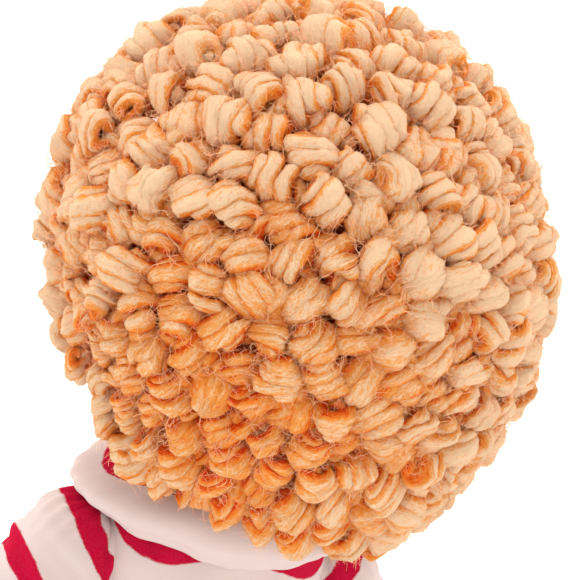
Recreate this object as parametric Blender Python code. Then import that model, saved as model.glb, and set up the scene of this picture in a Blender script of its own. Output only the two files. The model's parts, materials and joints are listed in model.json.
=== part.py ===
"""A sitting rag doll with a wig of wound yarn curls, a striped jersey top, plain trousers and felt shoes.

The doll faces -Y and sits on the plane z = 0, with the middle of its seat at the origin.
Its arms and legs are stuffed tubes that swing at sewn shoulder and hip seams, and its head turns on its neck.
"""

import math

import bmesh
import bpy
from mathutils import Matrix, Vector

MM = 0.001

# Clearances
SEAT_GAP = 0.3 * MM        # between a piece and what it lies on
JOINT_GAP = 0.7 * MM       # round a limb, inside the hollow that it swings in
NECK_GAP = 0.5 * MM        # round the neck, inside its bore and collar
CUT_OVERRUN = 4 * MM       # how far a cutter runs past what it cuts
FLAT_CUT = 0.5 * MM        # how much of a round underside is pressed flat

# Cloth
SKIN_WALL = 1.2 * MM
JERSEY_WALL = 1.3 * MM
TROUSER_WALL = 1.5 * MM
CAP_WALL = 1.5 * MM
FELT_WALL = 1.5 * MM

# Torso
TORSO_HEIGHT = 112 * MM
TORSO_HALF_WIDTH = 40 * MM
TORSO_HALF_DEPTH = 31 * MM
TORSO_SIDES = 28
TORSO_SHARES = (  # height, half width, half depth
    (0.00, 0.86, 0.82),
    (0.03, 0.94, 0.93),
    (0.12, 1.00, 1.00),
    (0.30, 0.99, 1.00),
    (0.48, 0.93, 0.95),
    (0.66, 0.86, 0.88),
    (0.80, 0.80, 0.82),
    (0.90, 0.745, 0.76),
    (0.96, 0.68, 0.68),
    (1.00, 0.585, 0.60),
)

# Neck and head
NECK_RADIUS = 15 * MM
NECK_DEPTH = 22 * MM       # how far the neck goes into the torso
HEAD_HALF_WIDTH = 51 * MM
HEAD_HALF_DEPTH = 49 * MM
HEAD_HALF_HEIGHT = 54 * MM
HEAD_SIDES = 24
HEAD_RINGS = 11
CHEEK_SWELL_SHARE = 0.11   # how much fuller the head is at the cheeks
CHEEK_TURN = math.radians(128)
CHEEK_SPAN = math.radians(34)
CHEEK_BACK_SHARE = 0.7     # of that fullness, how much is left beside the ears
RING_MARGIN = math.radians(1)  # how far past a limit a ring of the head may still count
CORE_TIE_DEPTH = 1.6 * MM  # how far the tied string draws the filling in at the neck
CORE_SIDES = 20

# Face
EYE_HALF_WIDTH = 3.4 * MM
EYE_HALF_HEIGHT = 4.4 * MM
EYE_THICKNESS = 1.3 * MM
EYE_SPACING = 34 * MM
EYE_TURN = math.radians(97)
NOSE_RADIUS = 3.6 * MM
NOSE_HEIGHT = 2.6 * MM
NOSE_TURN = math.radians(108)
MOUTH_WIDTH = 20 * MM
MOUTH_DROP = 4 * MM
MOUTH_THREAD = 0.9 * MM
MOUTH_TURN = math.radians(121)
MOUTH_STEPS = 12
MOUTH_LIFT_SHARE = 1.3     # of its thread's radius, how far the mouth's middle line stands off the head
PATCH_SIDES = 14
PATCH_SHARES = ((1.0, 0.0), (1.0, 0.5), (0.6, 1.0))  # width, height

# Hair
HAIR_SIDE_DEPTH = 11.5 * MM
HAIR_BACK_DEPTH = 11.5 * MM
HAIR_TOP_DEPTH = 11.5 * MM
HAIR_LIFT = 4.5 * MM       # the hair's middle stands above the head's
HAIR_COLLAR_GAP = 3.2 * MM
HAIR_HANG = 7 * MM         # how far the outer curls hang down at the nape
HANG_START = math.radians(95)
ROW_GAP = 0.5 * MM         # between two rows of curls
ROW_COUNT = 10
CURL_WIDTH = 14 * MM
CURL_STEPS = 3
CURL_DIP_SHARE = 0.42      # how far the hair dips between two curls
CURL_ARCH_SHARES = ((-1.0, 0.42), (0.0, 1.0), (1.0, 0.42))  # across a row, height
FACE_HALF_WIDTH = math.radians(56)
FACE_HALF_HEIGHT = math.radians(56)
FACE_TURN = math.radians(105)
JAW_DROP = 37.3 * MM       # from the head's middle down to the hair's edge beside the neck
JAW_SLOPE_SHARE = 0.33     # how steeply that edge rises towards the face
JAW_MARGIN = 2 * MM        # how far the cap runs on below the curls there
HAIRLINE_POINTS = 32
HAIRLINE_MARGIN = math.radians(0.5)
TUFT_SIDES = 12
TUFT_SHARES = ((1.0, 0.0), (1.0, 0.34), (0.62, 0.86))  # width, height

# Top
COLLAR_RADIUS = 24 * MM
COLLAR_HALF_WIDTH = 6.6 * MM
COLLAR_HALF_HEIGHT = 8.6 * MM
COLLAR_SPREAD = 7 * MM     # how much further the roll stands out over the shoulders
COLLAR_SINK = 1.2 * MM     # how far the top's neck edge is pressed down below the torso's top
COLLAR_SIDES = 24
COLLAR_STEPS = 9
HEAD_REST = 1.4 * MM       # between the collar and the head above it
HEM_OVERLAP = 4 * MM       # how far the top hangs over the waistband
HEM_FLARE_LENGTH = 16 * MM
FOLD_DEPTH = 2 * MM         # of the soft folds at the hem
FOLD_COUNT = 7

# Arms
ARM_LENGTH = 100 * MM
ARM_RADIUS = 13 * MM
ARM_SPLAY = math.radians(28)
ARM_SIDES = 16
SHOULDER_RISE = 1.5 * MM    # top of the sleeve above the torso's top
SHOULDER_SINK = 9 * MM     # how far a shoulder is let into the torso
ARM_SHARES = (  # along the arm, half width, half thickness
    (0.00, 1.00, 1.00),
    (0.16, 1.00, 1.00),
    (0.36, 0.93, 0.93),
    (0.56, 0.83, 0.83),
    (0.67, 0.74, 0.74),
    (0.74, 0.69, 0.67),
    (0.83, 0.86, 0.66),
    (0.92, 0.88, 0.62),
    (0.98, 0.58, 0.44),
)
ARM_BACK = math.radians(-45)
ARM_FORWARD = math.radians(90)
SLEEVE_LENGTH = 67 * MM
CUFF_LENGTH = 8 * MM
CUFF_WALL = 1.8 * MM
THUMB_PLACE = 85 * MM
THUMB_RADIUS = 4.6 * MM
THUMB_LENGTH = 15 * MM
THUMB_TURN = math.radians(38)
THUMB_SEGMENTS = 10
THUMB_RINGS = 6

# Legs
LEG_LENGTH = 107 * MM      # hip to ankle
LEG_RADIUS = 20 * MM
LEG_SPLAY = math.radians(8)
LEG_SIDES = 18
LEG_GAP = 2 * MM           # between the two trouser legs
HIP_SETBACK = 5 * MM       # from the torso's front to the hip's middle
WAIST_ABOVE_LEG = 13 * MM
WAISTBAND_HEIGHT = 9 * MM
WAISTBAND_WALL = 1.2 * MM
LEG_UP = math.radians(-15)
LEG_DOWN = math.radians(90)
LEG_SHARES = (  # along the leg, radius
    (0.00, 1.00),
    (0.18, 0.99),
    (0.38, 0.90),
    (0.56, 0.79),
    (0.74, 0.75),
    (0.90, 0.66),
    (1.00, 0.63),
)
TROUSER_LENGTH = 92 * MM
TURN_UP_LENGTH = 9 * MM
TURN_UP_WALL = 1.4 * MM
FOOT_LENGTH = 46 * MM
FOOT_HALF_HEIGHT = 15 * MM
FOOT_HALF_WIDTH = 15 * MM
FOOT_SHARES = (  # past the ankle, above the floor, turn in degrees, half height, half width
    (0.14, 0.33, 22, 0.92, 0.88),
    (0.32, 0.36, 42, 1.10, 0.94),
    (0.40, 0.57, 68, 1.03, 1.00),
    (0.42, 0.80, 88, 0.97, 1.04),
    (0.44, 0.98, 92, 0.83, 0.98),
    (0.46, 1.10, 95, 0.56, 0.70),
)
SOLE_PLACE = 26 * MM       # past the ankle, where the foot is pressed flat
SOLE_THICKNESS = 2.4 * MM
SOLE_HALF_LENGTH = 24 * MM
SOLE_HALF_WIDTH = 15 * MM
SOLE_MIDDLE = 29 * MM      # above the floor
SOLE_SIDES = 28
SOLE_BEVEL = 0.5 * MM
SHOE_OPENING_SHARE = 0.35  # of the foot's first step, how far past the ankle the shoe starts

ROOT_TURNS = (math.radians(30), math.radians(60))
SWING_STEPS = 9
SPHERE_SEGMENTS = 20
SPHERE_RINGS = 12
TIE = 1.001                # two lengths this close to each other count as equal

SIDES = {"left": 1, "right": -1}

COLOURS = {  # red, green, blue, roughness
    "hair_yarn": (0.93, 0.58, 0.32, 0.9),
    "cotton_skin": (0.88, 0.70, 0.60, 0.85),
    "filling": (0.90, 0.88, 0.82, 0.95),
    "cap_knit": (0.80, 0.46, 0.24, 0.9),
    "eye_thread": (0.10, 0.07, 0.06, 0.6),
    "mouth_thread": (0.66, 0.16, 0.16, 0.7),
    "jersey": (0.86, 0.80, 0.76, 0.85),
    "rib_red": (0.68, 0.02, 0.09, 0.85),
    "trouser_cotton": (0.16, 0.22, 0.36, 0.9),
    "felt": (0.55, 0.03, 0.08, 0.95),
    "sole_felt": (0.80, 0.74, 0.66, 0.95),
}


# Sizes that follow from the ones above
SLEEVE_RADIUS = ARM_RADIUS + SEAT_GAP + JERSEY_WALL
TROUSER_RADIUS = LEG_RADIUS + SEAT_GAP + TROUSER_WALL
TORSO_BASE = TROUSER_WALL + SEAT_GAP
TORSO_TOP = TORSO_BASE + TORSO_HEIGHT
WAIST = 2 * TROUSER_RADIUS - FLAT_CUT + WAIST_ABOVE_LEG
COLLAR_MIDDLE = TORSO_TOP - COLLAR_SINK + COLLAR_HALF_HEIGHT


def between(table, share):
    """The row of a table of shares at a place along it, read from a smooth curve through its rows."""
    share = min(max(share, table[0][0]), table[-1][0])
    last = len(table) - 1
    index = next((i for i in range(last) if share <= table[i + 1][0]), last - 1)
    rows = [table[min(max(index + step, 0), last)] for step in (-1, 0, 1, 2)]
    span = rows[2][0] - rows[1][0]
    t = (share - rows[1][0]) / span
    values = []
    for before, start, end, after in zip(*(row[1:] for row in rows)):
        room_before = max(rows[1][0] - rows[0][0], span)
        room_after = max(rows[3][0] - rows[2][0], span)
        slope_start = (end - before) / (room_before + span) * span
        slope_end = (after - start) / (room_after + span) * span
        values.append(
            start * (2 * t**3 - 3 * t**2 + 1)
            + slope_start * (t**3 - 2 * t**2 + t)
            + end * (3 * t**2 - 2 * t**3)
            + slope_end * (t**3 - t**2)
        )
    return values


def stops(table, length, low, high):
    """A table's own places between two limits, with the limits. One too near to a limit is left out."""
    least = length / len(table) / 4
    own = [row[0] * length for row in table]
    return [low, *(reach for reach in own if low + least < reach < high - least), high]


def torso_size(height):
    """Half width and half depth of the torso at a height above the seat."""
    width, depth = between(TORSO_SHARES, (height - TORSO_BASE) / TORSO_HEIGHT)
    return width * TORSO_HALF_WIDTH, depth * TORSO_HALF_DEPTH


SHOULDER_HEIGHT = TORSO_TOP + SHOULDER_RISE - SLEEVE_RADIUS
SHOULDER_OUT = torso_size(SHOULDER_HEIGHT)[0] + SLEEVE_RADIUS - SHOULDER_SINK
HIP_HEIGHT = TROUSER_RADIUS - FLAT_CUT
HIP_OUT = TROUSER_RADIUS + LEG_GAP / 2
HIP_FRONT = -(TORSO_HALF_DEPTH - HIP_SETBACK)
COLLAR_TOP = COLLAR_MIDDLE + COLLAR_HALF_HEIGHT
HEAD_MIDDLE = (
    COLLAR_TOP
    + HEAD_REST
    + HEAD_HALF_HEIGHT * math.sqrt(1 - (COLLAR_RADIUS / HEAD_HALF_WIDTH) ** 2)
)


# Materials and objects


def clear_scene():
    for obj in list(bpy.data.objects):
        bpy.data.objects.remove(obj)


def material(name):
    """The Principled material of one cloth or yarn, made once."""
    found = bpy.data.materials.get(name)
    if found:
        return found
    made = bpy.data.materials.new(name)
    made.use_nodes = True
    surface = made.node_tree.nodes["Principled BSDF"]
    red, green, blue, roughness = COLOURS[name]
    surface.inputs["Base Color"].default_value = (red, green, blue, 1)
    surface.inputs["Roughness"].default_value = roughness
    surface.inputs["Metallic"].default_value = 0
    made.diffuse_color = (red, green, blue, 1)
    return made


def place(name, mesh, look, pivot):
    """Puts a finished mesh in the scene, under the empty that its body turns on."""
    bmesh.ops.recalc_face_normals(mesh, faces=mesh.faces)
    mesh.transform(Matrix.Translation(-Vector(pivot.location)))
    data = bpy.data.meshes.new(name)
    mesh.to_mesh(data)
    mesh.free()
    data.materials.append(material(look))
    data.shade_smooth()
    made = bpy.data.objects.new(name, data)
    bpy.context.scene.collection.objects.link(made)
    made.parent = pivot
    return made


def pivot_at(name, where):
    """An empty on a joint's axis. The pieces of one body hang from it."""
    made = bpy.data.objects.new(name, None)
    made.location = where
    bpy.context.scene.collection.objects.link(made)
    return made


def helper(name, mesh):
    """A shape that only cuts or joins others, left out of the doll itself."""
    bmesh.ops.recalc_face_normals(mesh, faces=mesh.faces)
    data = bpy.data.meshes.new(name)
    mesh.to_mesh(data)
    mesh.free()
    made = bpy.data.objects.new(name, data)
    bpy.context.scene.collection.objects.link(made)
    made.hide_render = True
    made.display_type = "WIRE"
    return made


def boolean(obj, other, operation="DIFFERENCE"):
    step = obj.modifiers.new(operation.title() + "_" + other.name, "BOOLEAN")
    step.operation = operation
    step.object = other


def thicken(obj, wall):
    """Gives an open surface a wall on its outer side."""
    step = obj.modifiers.new("Wall", "SOLIDIFY")
    step.thickness = wall
    step.offset = 1
    step.use_even_offset = True
    step.thickness_clamp = 1


# Surfaces from rings


def ring(middle, across, up, half_width, half_height, sides):
    """Points of an ellipse about a middle, in the plane of two directions."""
    points = []
    for i in range(sides):
        angle = math.tau * i / sides
        points.append(middle + across * half_width * math.cos(angle) + up * half_height * math.sin(angle))
    return points


def loft(rings, start=None, end=None, loop=False):
    """A mesh through rings of points. Each end is a point, a flat face ("flat") or open (None).

    Every four points are split along their shorter diagonal, so that layers of cloth stay parallel.
    """
    mesh = bmesh.new()
    loops = [[mesh.verts.new(point) for point in points] for points in rings]
    pairs = list(zip(loops, loops[1:]))
    if loop:
        pairs.append((loops[-1], loops[0]))
    for one, two in pairs:
        for i in range(len(one)):
            j = (i + 1) % len(one)
            rising = (one[i].co - two[j].co).length
            falling = (one[j].co - two[i].co).length
            if rising < falling * TIE:
                mesh.faces.new((one[i], one[j], two[j]))
                mesh.faces.new((one[i], two[j], two[i]))
            else:
                mesh.faces.new((one[i], one[j], two[i]))
                mesh.faces.new((one[j], two[j], two[i]))
    for closing, points in ((start, loops[0]), (end, loops[-1])):
        if closing is None:
            continue
        if isinstance(closing, str):
            mesh.faces.new(points)
            continue
        tip = mesh.verts.new(closing)
        for i in range(len(points)):
            mesh.faces.new((points[i], points[(i + 1) % len(points)], tip))
    return mesh


def ball(middle, radius, segments=SPHERE_SEGMENTS, rings=SPHERE_RINGS):
    mesh = bmesh.new()
    bmesh.ops.create_uvsphere(mesh, u_segments=segments, v_segments=rings, radius=radius)
    mesh.transform(Matrix.Translation(middle))
    return mesh


def root_rings(start, along, across, up, radius, sides):
    """Rings of a limb's round root, from near its pole to where the limb starts."""
    rings = []
    for turn in ROOT_TURNS:
        middle = start - along * radius * math.cos(turn)
        rings.append(ring(middle, across, up, radius * math.sin(turn), radius * math.sin(turn), sides))
    return rings


def swept_room(name, middle, tips, radius):
    """The room that a limb needs as it swings: the hull of balls at its root and at its far places."""
    mesh = bmesh.new()
    for centre in [middle, *tips]:
        piece = ball(centre, radius)
        points = [vert.co.copy() for vert in piece.verts]
        piece.free()
        for point in points:
            mesh.verts.new(point)
    hull = bmesh.ops.convex_hull(mesh, input=mesh.verts)
    loose = [item for item in hull["geom_interior"] if isinstance(item, bmesh.types.BMVert)]
    bmesh.ops.delete(mesh, geom=loose, context="VERTS")
    return helper(name, mesh)


# Torso and its clothes


def torso_ring(height, offset):
    width, depth = torso_size(height)
    return ring(
        Vector((0, 0, height)), Vector((1, 0, 0)), Vector((0, 1, 0)), width + offset, depth + offset, TORSO_SIDES
    )


def torso_heights(low, high):
    """Heights of the torso's own rings between two limits, with the limits."""
    return [TORSO_BASE + rise for rise in stops(TORSO_SHARES, TORSO_HEIGHT, low - TORSO_BASE, high - TORSO_BASE)]


def make_torso(body, rooms):
    """The stuffed torso, with a bore for the neck and hollows for the limbs."""
    rings = [torso_ring(height, 0) for height in torso_heights(TORSO_BASE, TORSO_TOP)]
    torso = place("torso", loft(rings, "flat", "flat"), "cotton_skin", body)
    bore_radius = NECK_RADIUS + NECK_GAP
    floor = Vector((0, 0, TORSO_TOP - NECK_DEPTH - NECK_GAP))
    mouth = Vector((0, 0, TORSO_TOP + CUT_OVERRUN))
    ends = [
        ring(middle, Vector((1, 0, 0)), Vector((0, 1, 0)), bore_radius, bore_radius, CORE_SIDES)
        for middle in (floor, mouth)
    ]
    boolean(torso, helper("neck_bore", loft(ends, "flat", "flat")))
    for room in rooms:
        boolean(torso, room)


def make_trousers_seat(body, rooms):
    """The seat of the trousers: a cloth bowl round the hips, flat below, open for the legs."""
    top = WAIST - WAISTBAND_HEIGHT - SEAT_GAP
    rings = [torso_ring(height, SEAT_GAP) for height in torso_heights(TORSO_BASE, top)]
    floor = [point - Vector((0, 0, SEAT_GAP)) for point in rings[0]]
    seat = place("trousers_seat", loft([floor, *rings[1:]], "flat"), "trouser_cotton", body)
    thicken(seat, TROUSER_WALL)
    for room in rooms:
        boolean(seat, room)


def make_waistband(body):
    low = WAIST - WAISTBAND_HEIGHT
    rings = [torso_ring(height, SEAT_GAP) for height in (low, low + WAISTBAND_HEIGHT / 2, WAIST)]
    band = place("trousers_waistband", loft(rings), "trouser_cotton", body)
    thicken(band, WAISTBAND_WALL)


def top_ring(height):
    """A ring of the top's inner side. Low down it goes out over the waistband, and hangs in folds."""
    share = min(max(1 - (height - WAIST) / HEM_FLARE_LENGTH, 0), 1)
    points = torso_ring(height, SEAT_GAP + (WAISTBAND_WALL + SEAT_GAP) * share)
    for i, point in enumerate(points):
        angle = math.tau * i / TORSO_SIDES
        fold = FOLD_DEPTH * share * (1 - math.cos(FOLD_COUNT * (angle - math.pi / 2))) / 2
        points[i] = point + Vector((math.cos(angle), math.sin(angle), 0)) * fold
    return points


def make_top(body, rooms):
    """The jersey top's body: front and back as one tube, with armholes and a neck opening."""
    limits = [WAIST - HEM_OVERLAP, WAIST, WAIST + HEM_FLARE_LENGTH / 2, TORSO_TOP - COLLAR_SINK]
    heights = [limits[0]]
    for low, high in zip(limits, limits[1:]):
        heights.extend(torso_heights(low, high)[1:])
    top = place("top_body", loft([top_ring(height) for height in heights]), "jersey", body)
    thicken(top, JERSEY_WALL)
    for room in rooms:
        boolean(top, room)


def make_collar(body, rooms):
    """The rolled collar: a soft fold of jersey that stands round the neck, fuller over the shoulders."""
    mesh = bmesh.new()
    profile = []
    for i in range(COLLAR_STEPS):
        angle = math.tau * i / COLLAR_STEPS
        out = COLLAR_RADIUS + COLLAR_HALF_WIDTH * math.cos(angle)
        height = COLLAR_MIDDLE + COLLAR_HALF_HEIGHT * math.sin(angle)
        profile.append(mesh.verts.new((out, 0, height)))
    edges = [mesh.edges.new((profile[i - 1], profile[i])) for i in range(COLLAR_STEPS)]
    bmesh.ops.spin(
        mesh, geom=[*profile, *edges], cent=(0, 0, 0), axis=(0, 0, 1), angle=math.tau, steps=COLLAR_SIDES
    )
    bmesh.ops.remove_doubles(mesh, verts=mesh.verts, dist=SEAT_GAP / 10)
    for vert in mesh.verts:
        reach = math.hypot(vert.co.x, vert.co.y)
        outward = (1 + (reach - COLLAR_RADIUS) / COLLAR_HALF_WIDTH) / 2
        vert.co.x += COLLAR_SPREAD * outward * vert.co.x / reach
    collar = place("top_collar", mesh, "jersey", body)
    start = TORSO_TOP - COLLAR_HALF_HEIGHT - CUT_OVERRUN
    slope = [torso_ring(height, SEAT_GAP) for height in torso_heights(start, TORSO_TOP)]
    lid = [point + Vector((0, 0, SEAT_GAP)) for point in slope[-1]]
    boolean(collar, helper("collar_seat", loft([*slope, lid], "flat", "flat")))
    covered = torso_heights(start, TORSO_TOP - COLLAR_SINK + SEAT_GAP)
    cloth = helper("collar_seat_cloth", loft([torso_ring(height, SEAT_GAP) for height in covered]))
    thicken(cloth, JERSEY_WALL + SEAT_GAP)
    boolean(collar, cloth)
    for room in rooms:
        boolean(collar, room)


# Arms


def arm_axes(side):
    along = Vector((side * math.sin(ARM_SPLAY), 0, -math.cos(ARM_SPLAY)))
    thick = Vector((side * math.cos(ARM_SPLAY), 0, math.sin(ARM_SPLAY)))
    return along, Vector((0, -1, 0)), thick


def shoulder_of(side):
    return Vector((side * SHOULDER_OUT, 0, SHOULDER_HEIGHT))


def arm_rings(side, offset, low, high):
    """Rings of the arm, or of what lies on it by an offset, from its round shoulder to a place along it."""
    along, wide, thick = arm_axes(side)
    start = shoulder_of(side)
    rings = []
    if low <= 0:
        rings.extend(root_rings(start, along, wide, thick, ARM_RADIUS + offset, ARM_SIDES))
    for reach in stops(ARM_SHARES, ARM_LENGTH, low, high):
        width, thickness = between(ARM_SHARES, reach / ARM_LENGTH)
        middle = start + along * reach
        half_width = width * ARM_RADIUS + offset
        half_thickness = thickness * ARM_RADIUS + offset
        rings.append(ring(middle, wide, thick, half_width, half_thickness, ARM_SIDES))
    return rings


def make_arm(side_name, body):
    """A stuffed arm with a mitten hand and a thumb."""
    side = SIDES[side_name]
    along, wide, _ = arm_axes(side)
    start = shoulder_of(side)
    rings = arm_rings(side, 0, 0, ARM_SHARES[-1][0] * ARM_LENGTH)
    mesh = loft(rings, start - along * ARM_RADIUS, start + along * ARM_LENGTH)
    arm = place("arm_" + side_name, mesh, "cotton_skin", body)
    root = start + along * THUMB_PLACE
    lean = (wide * math.cos(THUMB_TURN) + along * math.sin(THUMB_TURN)).normalized()
    thumb = ball(Vector((0, 0, 0)), THUMB_RADIUS, THUMB_SEGMENTS, THUMB_RINGS)
    stretch = Matrix.Diagonal((1, 1, THUMB_LENGTH / THUMB_RADIUS, 1))
    thumb.transform(lean.to_track_quat("Z", "Y").to_matrix().to_4x4() @ stretch)
    thumb.transform(Matrix.Translation(root - Vector(body.location)))
    thumb_shape = helper("thumb_" + side_name, thumb)
    thumb_shape.parent = body
    boolean(arm, thumb_shape, "UNION")


def make_sleeve(side_name, body):
    side = SIDES[side_name]
    along = arm_axes(side)[0]
    start = shoulder_of(side)
    rings = arm_rings(side, SEAT_GAP, 0, SLEEVE_LENGTH)
    sleeve = place("sleeve_" + side_name, loft(rings, start - along * (ARM_RADIUS + SEAT_GAP)), "jersey", body)
    thicken(sleeve, JERSEY_WALL)


def make_cuff(side_name, body):
    low = SLEEVE_LENGTH + SEAT_GAP
    rings = arm_rings(SIDES[side_name], SEAT_GAP, low, low + CUFF_LENGTH)
    cuff = place("cuff_" + side_name, loft(rings), "rib_red", body)
    thicken(cuff, CUFF_WALL)


def arm_room(side_name):
    """The room that a sleeve swings through."""
    side = SIDES[side_name]
    start = shoulder_of(side)
    along = arm_axes(side)[0]
    tips = []
    for i in range(SWING_STEPS + 1):
        turn = ARM_BACK + (ARM_FORWARD - ARM_BACK) * i / SWING_STEPS
        tips.append(start + Matrix.Rotation(-turn, 3, "X") @ along * SLEEVE_LENGTH)
    return swept_room("arm_room_" + side_name, start, tips, SLEEVE_RADIUS + JOINT_GAP)


# Legs


def hip_of(side):
    return Vector((side * HIP_OUT, HIP_FRONT, HIP_HEIGHT))


def leg_axes(side):
    along = Vector((side * math.sin(LEG_SPLAY), -math.cos(LEG_SPLAY), 0))
    across = Vector((side * math.cos(LEG_SPLAY), math.sin(LEG_SPLAY), 0))
    return along, across, Vector((0, 0, 1))


def pressed(points, low, start, along, reach):
    """Points with those below the floor height, or past a reach along the leg, pressed flat."""
    flat = []
    for point in points:
        past = (point - start).dot(along) - reach
        if past > 0:
            point = point - along * past
        flat.append(Vector((point.x, point.y, max(point.z, low))))
    return flat


def leg_rings(side, offset, low, high, foot=False):
    """Rings of the leg, or of what lies on it by an offset. The underside lies along the floor."""
    along, across, up = leg_axes(side)
    start = hip_of(side)
    floor = TROUSER_WALL + SEAT_GAP - offset
    reach = LEG_LENGTH + SOLE_PLACE + offset
    rings = []
    if low <= 0:
        rings.extend(root_rings(start, along, across, up, LEG_RADIUS + offset, LEG_SIDES))
    for reach_on in stops(LEG_SHARES, LEG_LENGTH, low, high):
        radius = between(LEG_SHARES, reach_on / LEG_LENGTH)[0] * LEG_RADIUS
        drop = up * (LEG_RADIUS - radius)
        middle = start + along * reach_on - drop
        rings.append(ring(middle, across, up, radius + offset, radius + offset, LEG_SIDES))
    if foot:
        rings.extend(foot_rings(side, offset))
    return [pressed(points, floor, start, along, reach) for points in rings]


def foot_rings(side, offset):
    along, across, up = leg_axes(side)
    base = hip_of(side)
    base.z = 0
    rings = []
    for past, above, turn_degrees, high, wide in FOOT_SHARES:
        turn = math.radians(turn_degrees)
        middle = base + along * (LEG_LENGTH + past * FOOT_LENGTH) + up * above * FOOT_LENGTH
        lean = up * math.cos(turn) - along * math.sin(turn)
        rings.append(
            ring(middle, across, lean, wide * FOOT_HALF_WIDTH + offset, high * FOOT_HALF_HEIGHT + offset, LEG_SIDES)
        )
    return rings


def toe_tip(side, offset):
    """The point of the toes, past the foot's last ring."""
    along, _, up = leg_axes(side)
    past, above, turn_degrees, high, _ = FOOT_SHARES[-1]
    base = hip_of(side)
    base.z = 0
    middle = base + along * (LEG_LENGTH + past * FOOT_LENGTH) + up * above * FOOT_LENGTH
    turn = math.radians(turn_degrees)
    onward = up * math.sin(turn) + along * math.cos(turn)
    return middle + onward * (high * FOOT_HALF_HEIGHT / 2 + offset)


def make_leg(side_name, body):
    side = SIDES[side_name]
    along = leg_axes(side)[0]
    rings = leg_rings(side, 0, 0, LEG_LENGTH, foot=True)
    mesh = loft(rings, hip_of(side) - along * LEG_RADIUS, toe_tip(side, 0))
    place("leg_" + side_name, mesh, "cotton_skin", body)


def make_trouser_leg(side_name, body):
    side = SIDES[side_name]
    along = leg_axes(side)[0]
    rings = leg_rings(side, SEAT_GAP, 0, TROUSER_LENGTH)
    mesh = loft(rings, hip_of(side) - along * (LEG_RADIUS + SEAT_GAP))
    trouser = place("trouser_leg_" + side_name, mesh, "trouser_cotton", body)
    thicken(trouser, TROUSER_WALL)


def make_turn_up(side_name, body):
    """The turned-up end of a trouser leg, a band that lies on the leg past the trouser tube."""
    low = TROUSER_LENGTH + SEAT_GAP
    rings = leg_rings(SIDES[side_name], SEAT_GAP, low, low + TURN_UP_LENGTH)
    band = place("turn_up_" + side_name, loft(rings), "trouser_cotton", body)
    thicken(band, TURN_UP_WALL)


def shoe_rings(side, offset):
    """The shoe's rings at an offset from the foot, starting just past the ankle."""
    along = leg_axes(side)[0]
    start = hip_of(side)
    ankle = leg_rings(side, offset, LEG_LENGTH - SEAT_GAP, LEG_LENGTH)[-1]
    first = foot_rings(side, offset)[0]
    opening = [a.lerp(b, SHOE_OPENING_SHARE) for a, b in zip(ankle, first)]
    rings = [opening, *foot_rings(side, offset)]
    floor = TROUSER_WALL + SEAT_GAP - offset
    return [pressed(points, max(floor, 0), start, along, LEG_LENGTH + SOLE_PLACE + offset) for points in rings]


def make_shoe(side_name, body):
    """A felt shoe: one shell round the foot, open at the ankle and flat at its sole."""
    side = SIDES[side_name]
    outer = SEAT_GAP + FELT_WALL
    inside = [toe_tip(side, SEAT_GAP), toe_tip(side, outer)]
    rings = [*reversed(shoe_rings(side, SEAT_GAP)), *shoe_rings(side, outer)]
    place("shoe_" + side_name, loft(rings, *inside), "felt", body)


def make_sole(side_name, body):
    side = SIDES[side_name]
    along, across, up = leg_axes(side)
    inner = LEG_LENGTH + SOLE_PLACE + SEAT_GAP + FELT_WALL + SEAT_GAP
    base = hip_of(side)
    base.z = SOLE_MIDDLE
    rings = [
        ring(base + along * reach, across, up, SOLE_HALF_WIDTH, SOLE_HALF_LENGTH, SOLE_SIDES)
        for reach in (inner, inner + SOLE_THICKNESS)
    ]
    sole = place("shoe_sole_" + side_name, loft(rings, "flat", "flat"), "sole_felt", body)
    edge = sole.modifiers.new("Edge", "BEVEL")
    edge.width = SOLE_BEVEL
    edge.segments = 1
    edge.limit_method = "ANGLE"


def leg_room(side_name):
    side = SIDES[side_name]
    start = hip_of(side)
    along = leg_axes(side)[0]
    tips = []
    for i in range(SWING_STEPS + 1):
        turn = LEG_UP + (LEG_DOWN - LEG_UP) * i / SWING_STEPS
        tips.append(start + Matrix.Rotation(turn, 3, "X") @ along * 2 * TROUSER_RADIUS)
    return swept_room("leg_room_" + side_name, start, tips, TROUSER_RADIUS + JOINT_GAP)


# Head and face


def head_swell(turn, around):
    """How much fuller the head is than an ellipsoid: at the cheeks, and no longer at the back."""
    front = min(max(math.cos(around) + CHEEK_BACK_SHARE, 0), 1)
    return 1 + CHEEK_SWELL_SHARE * front * math.exp(-(((turn - CHEEK_TURN) / CHEEK_SPAN) ** 2))


def head_point(turn, around, offset):
    """A point off the head's surface: an angle down from the crown and one round from the face."""
    swell = head_swell(turn, around)
    return Vector(
        (
            (HEAD_HALF_WIDTH * swell + offset) * math.sin(turn) * math.sin(around),
            -(HEAD_HALF_DEPTH * swell + offset) * math.sin(turn) * math.cos(around),
            HEAD_MIDDLE + (HEAD_HALF_HEIGHT + offset) * math.cos(turn),
        )
    )


def head_turns(last):
    """Angles from the crown of the head's rings, down to a last one. Every layer of the head uses them."""
    end = neck_turn(NECK_RADIUS + NECK_GAP)
    turns = [end * i / HEAD_RINGS for i in range(1, HEAD_RINGS + 1)]
    return [turn for turn in turns if turn <= last + RING_MARGIN]


def head_rings(offset, last):
    return [
        [head_point(turn, math.tau * j / HEAD_SIDES, offset) for j in range(HEAD_SIDES)] for turn in head_turns(last)
    ]


def neck_ring(height, radius):
    angles = [math.tau * j / HEAD_SIDES for j in range(HEAD_SIDES)]
    return [Vector((radius * math.sin(angle), -radius * math.cos(angle), height)) for angle in angles]


def neck_turn(radius):
    """The angle from the crown at which the head has narrowed to the neck."""
    return math.pi - math.asin(radius / HEAD_HALF_DEPTH)


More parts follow.
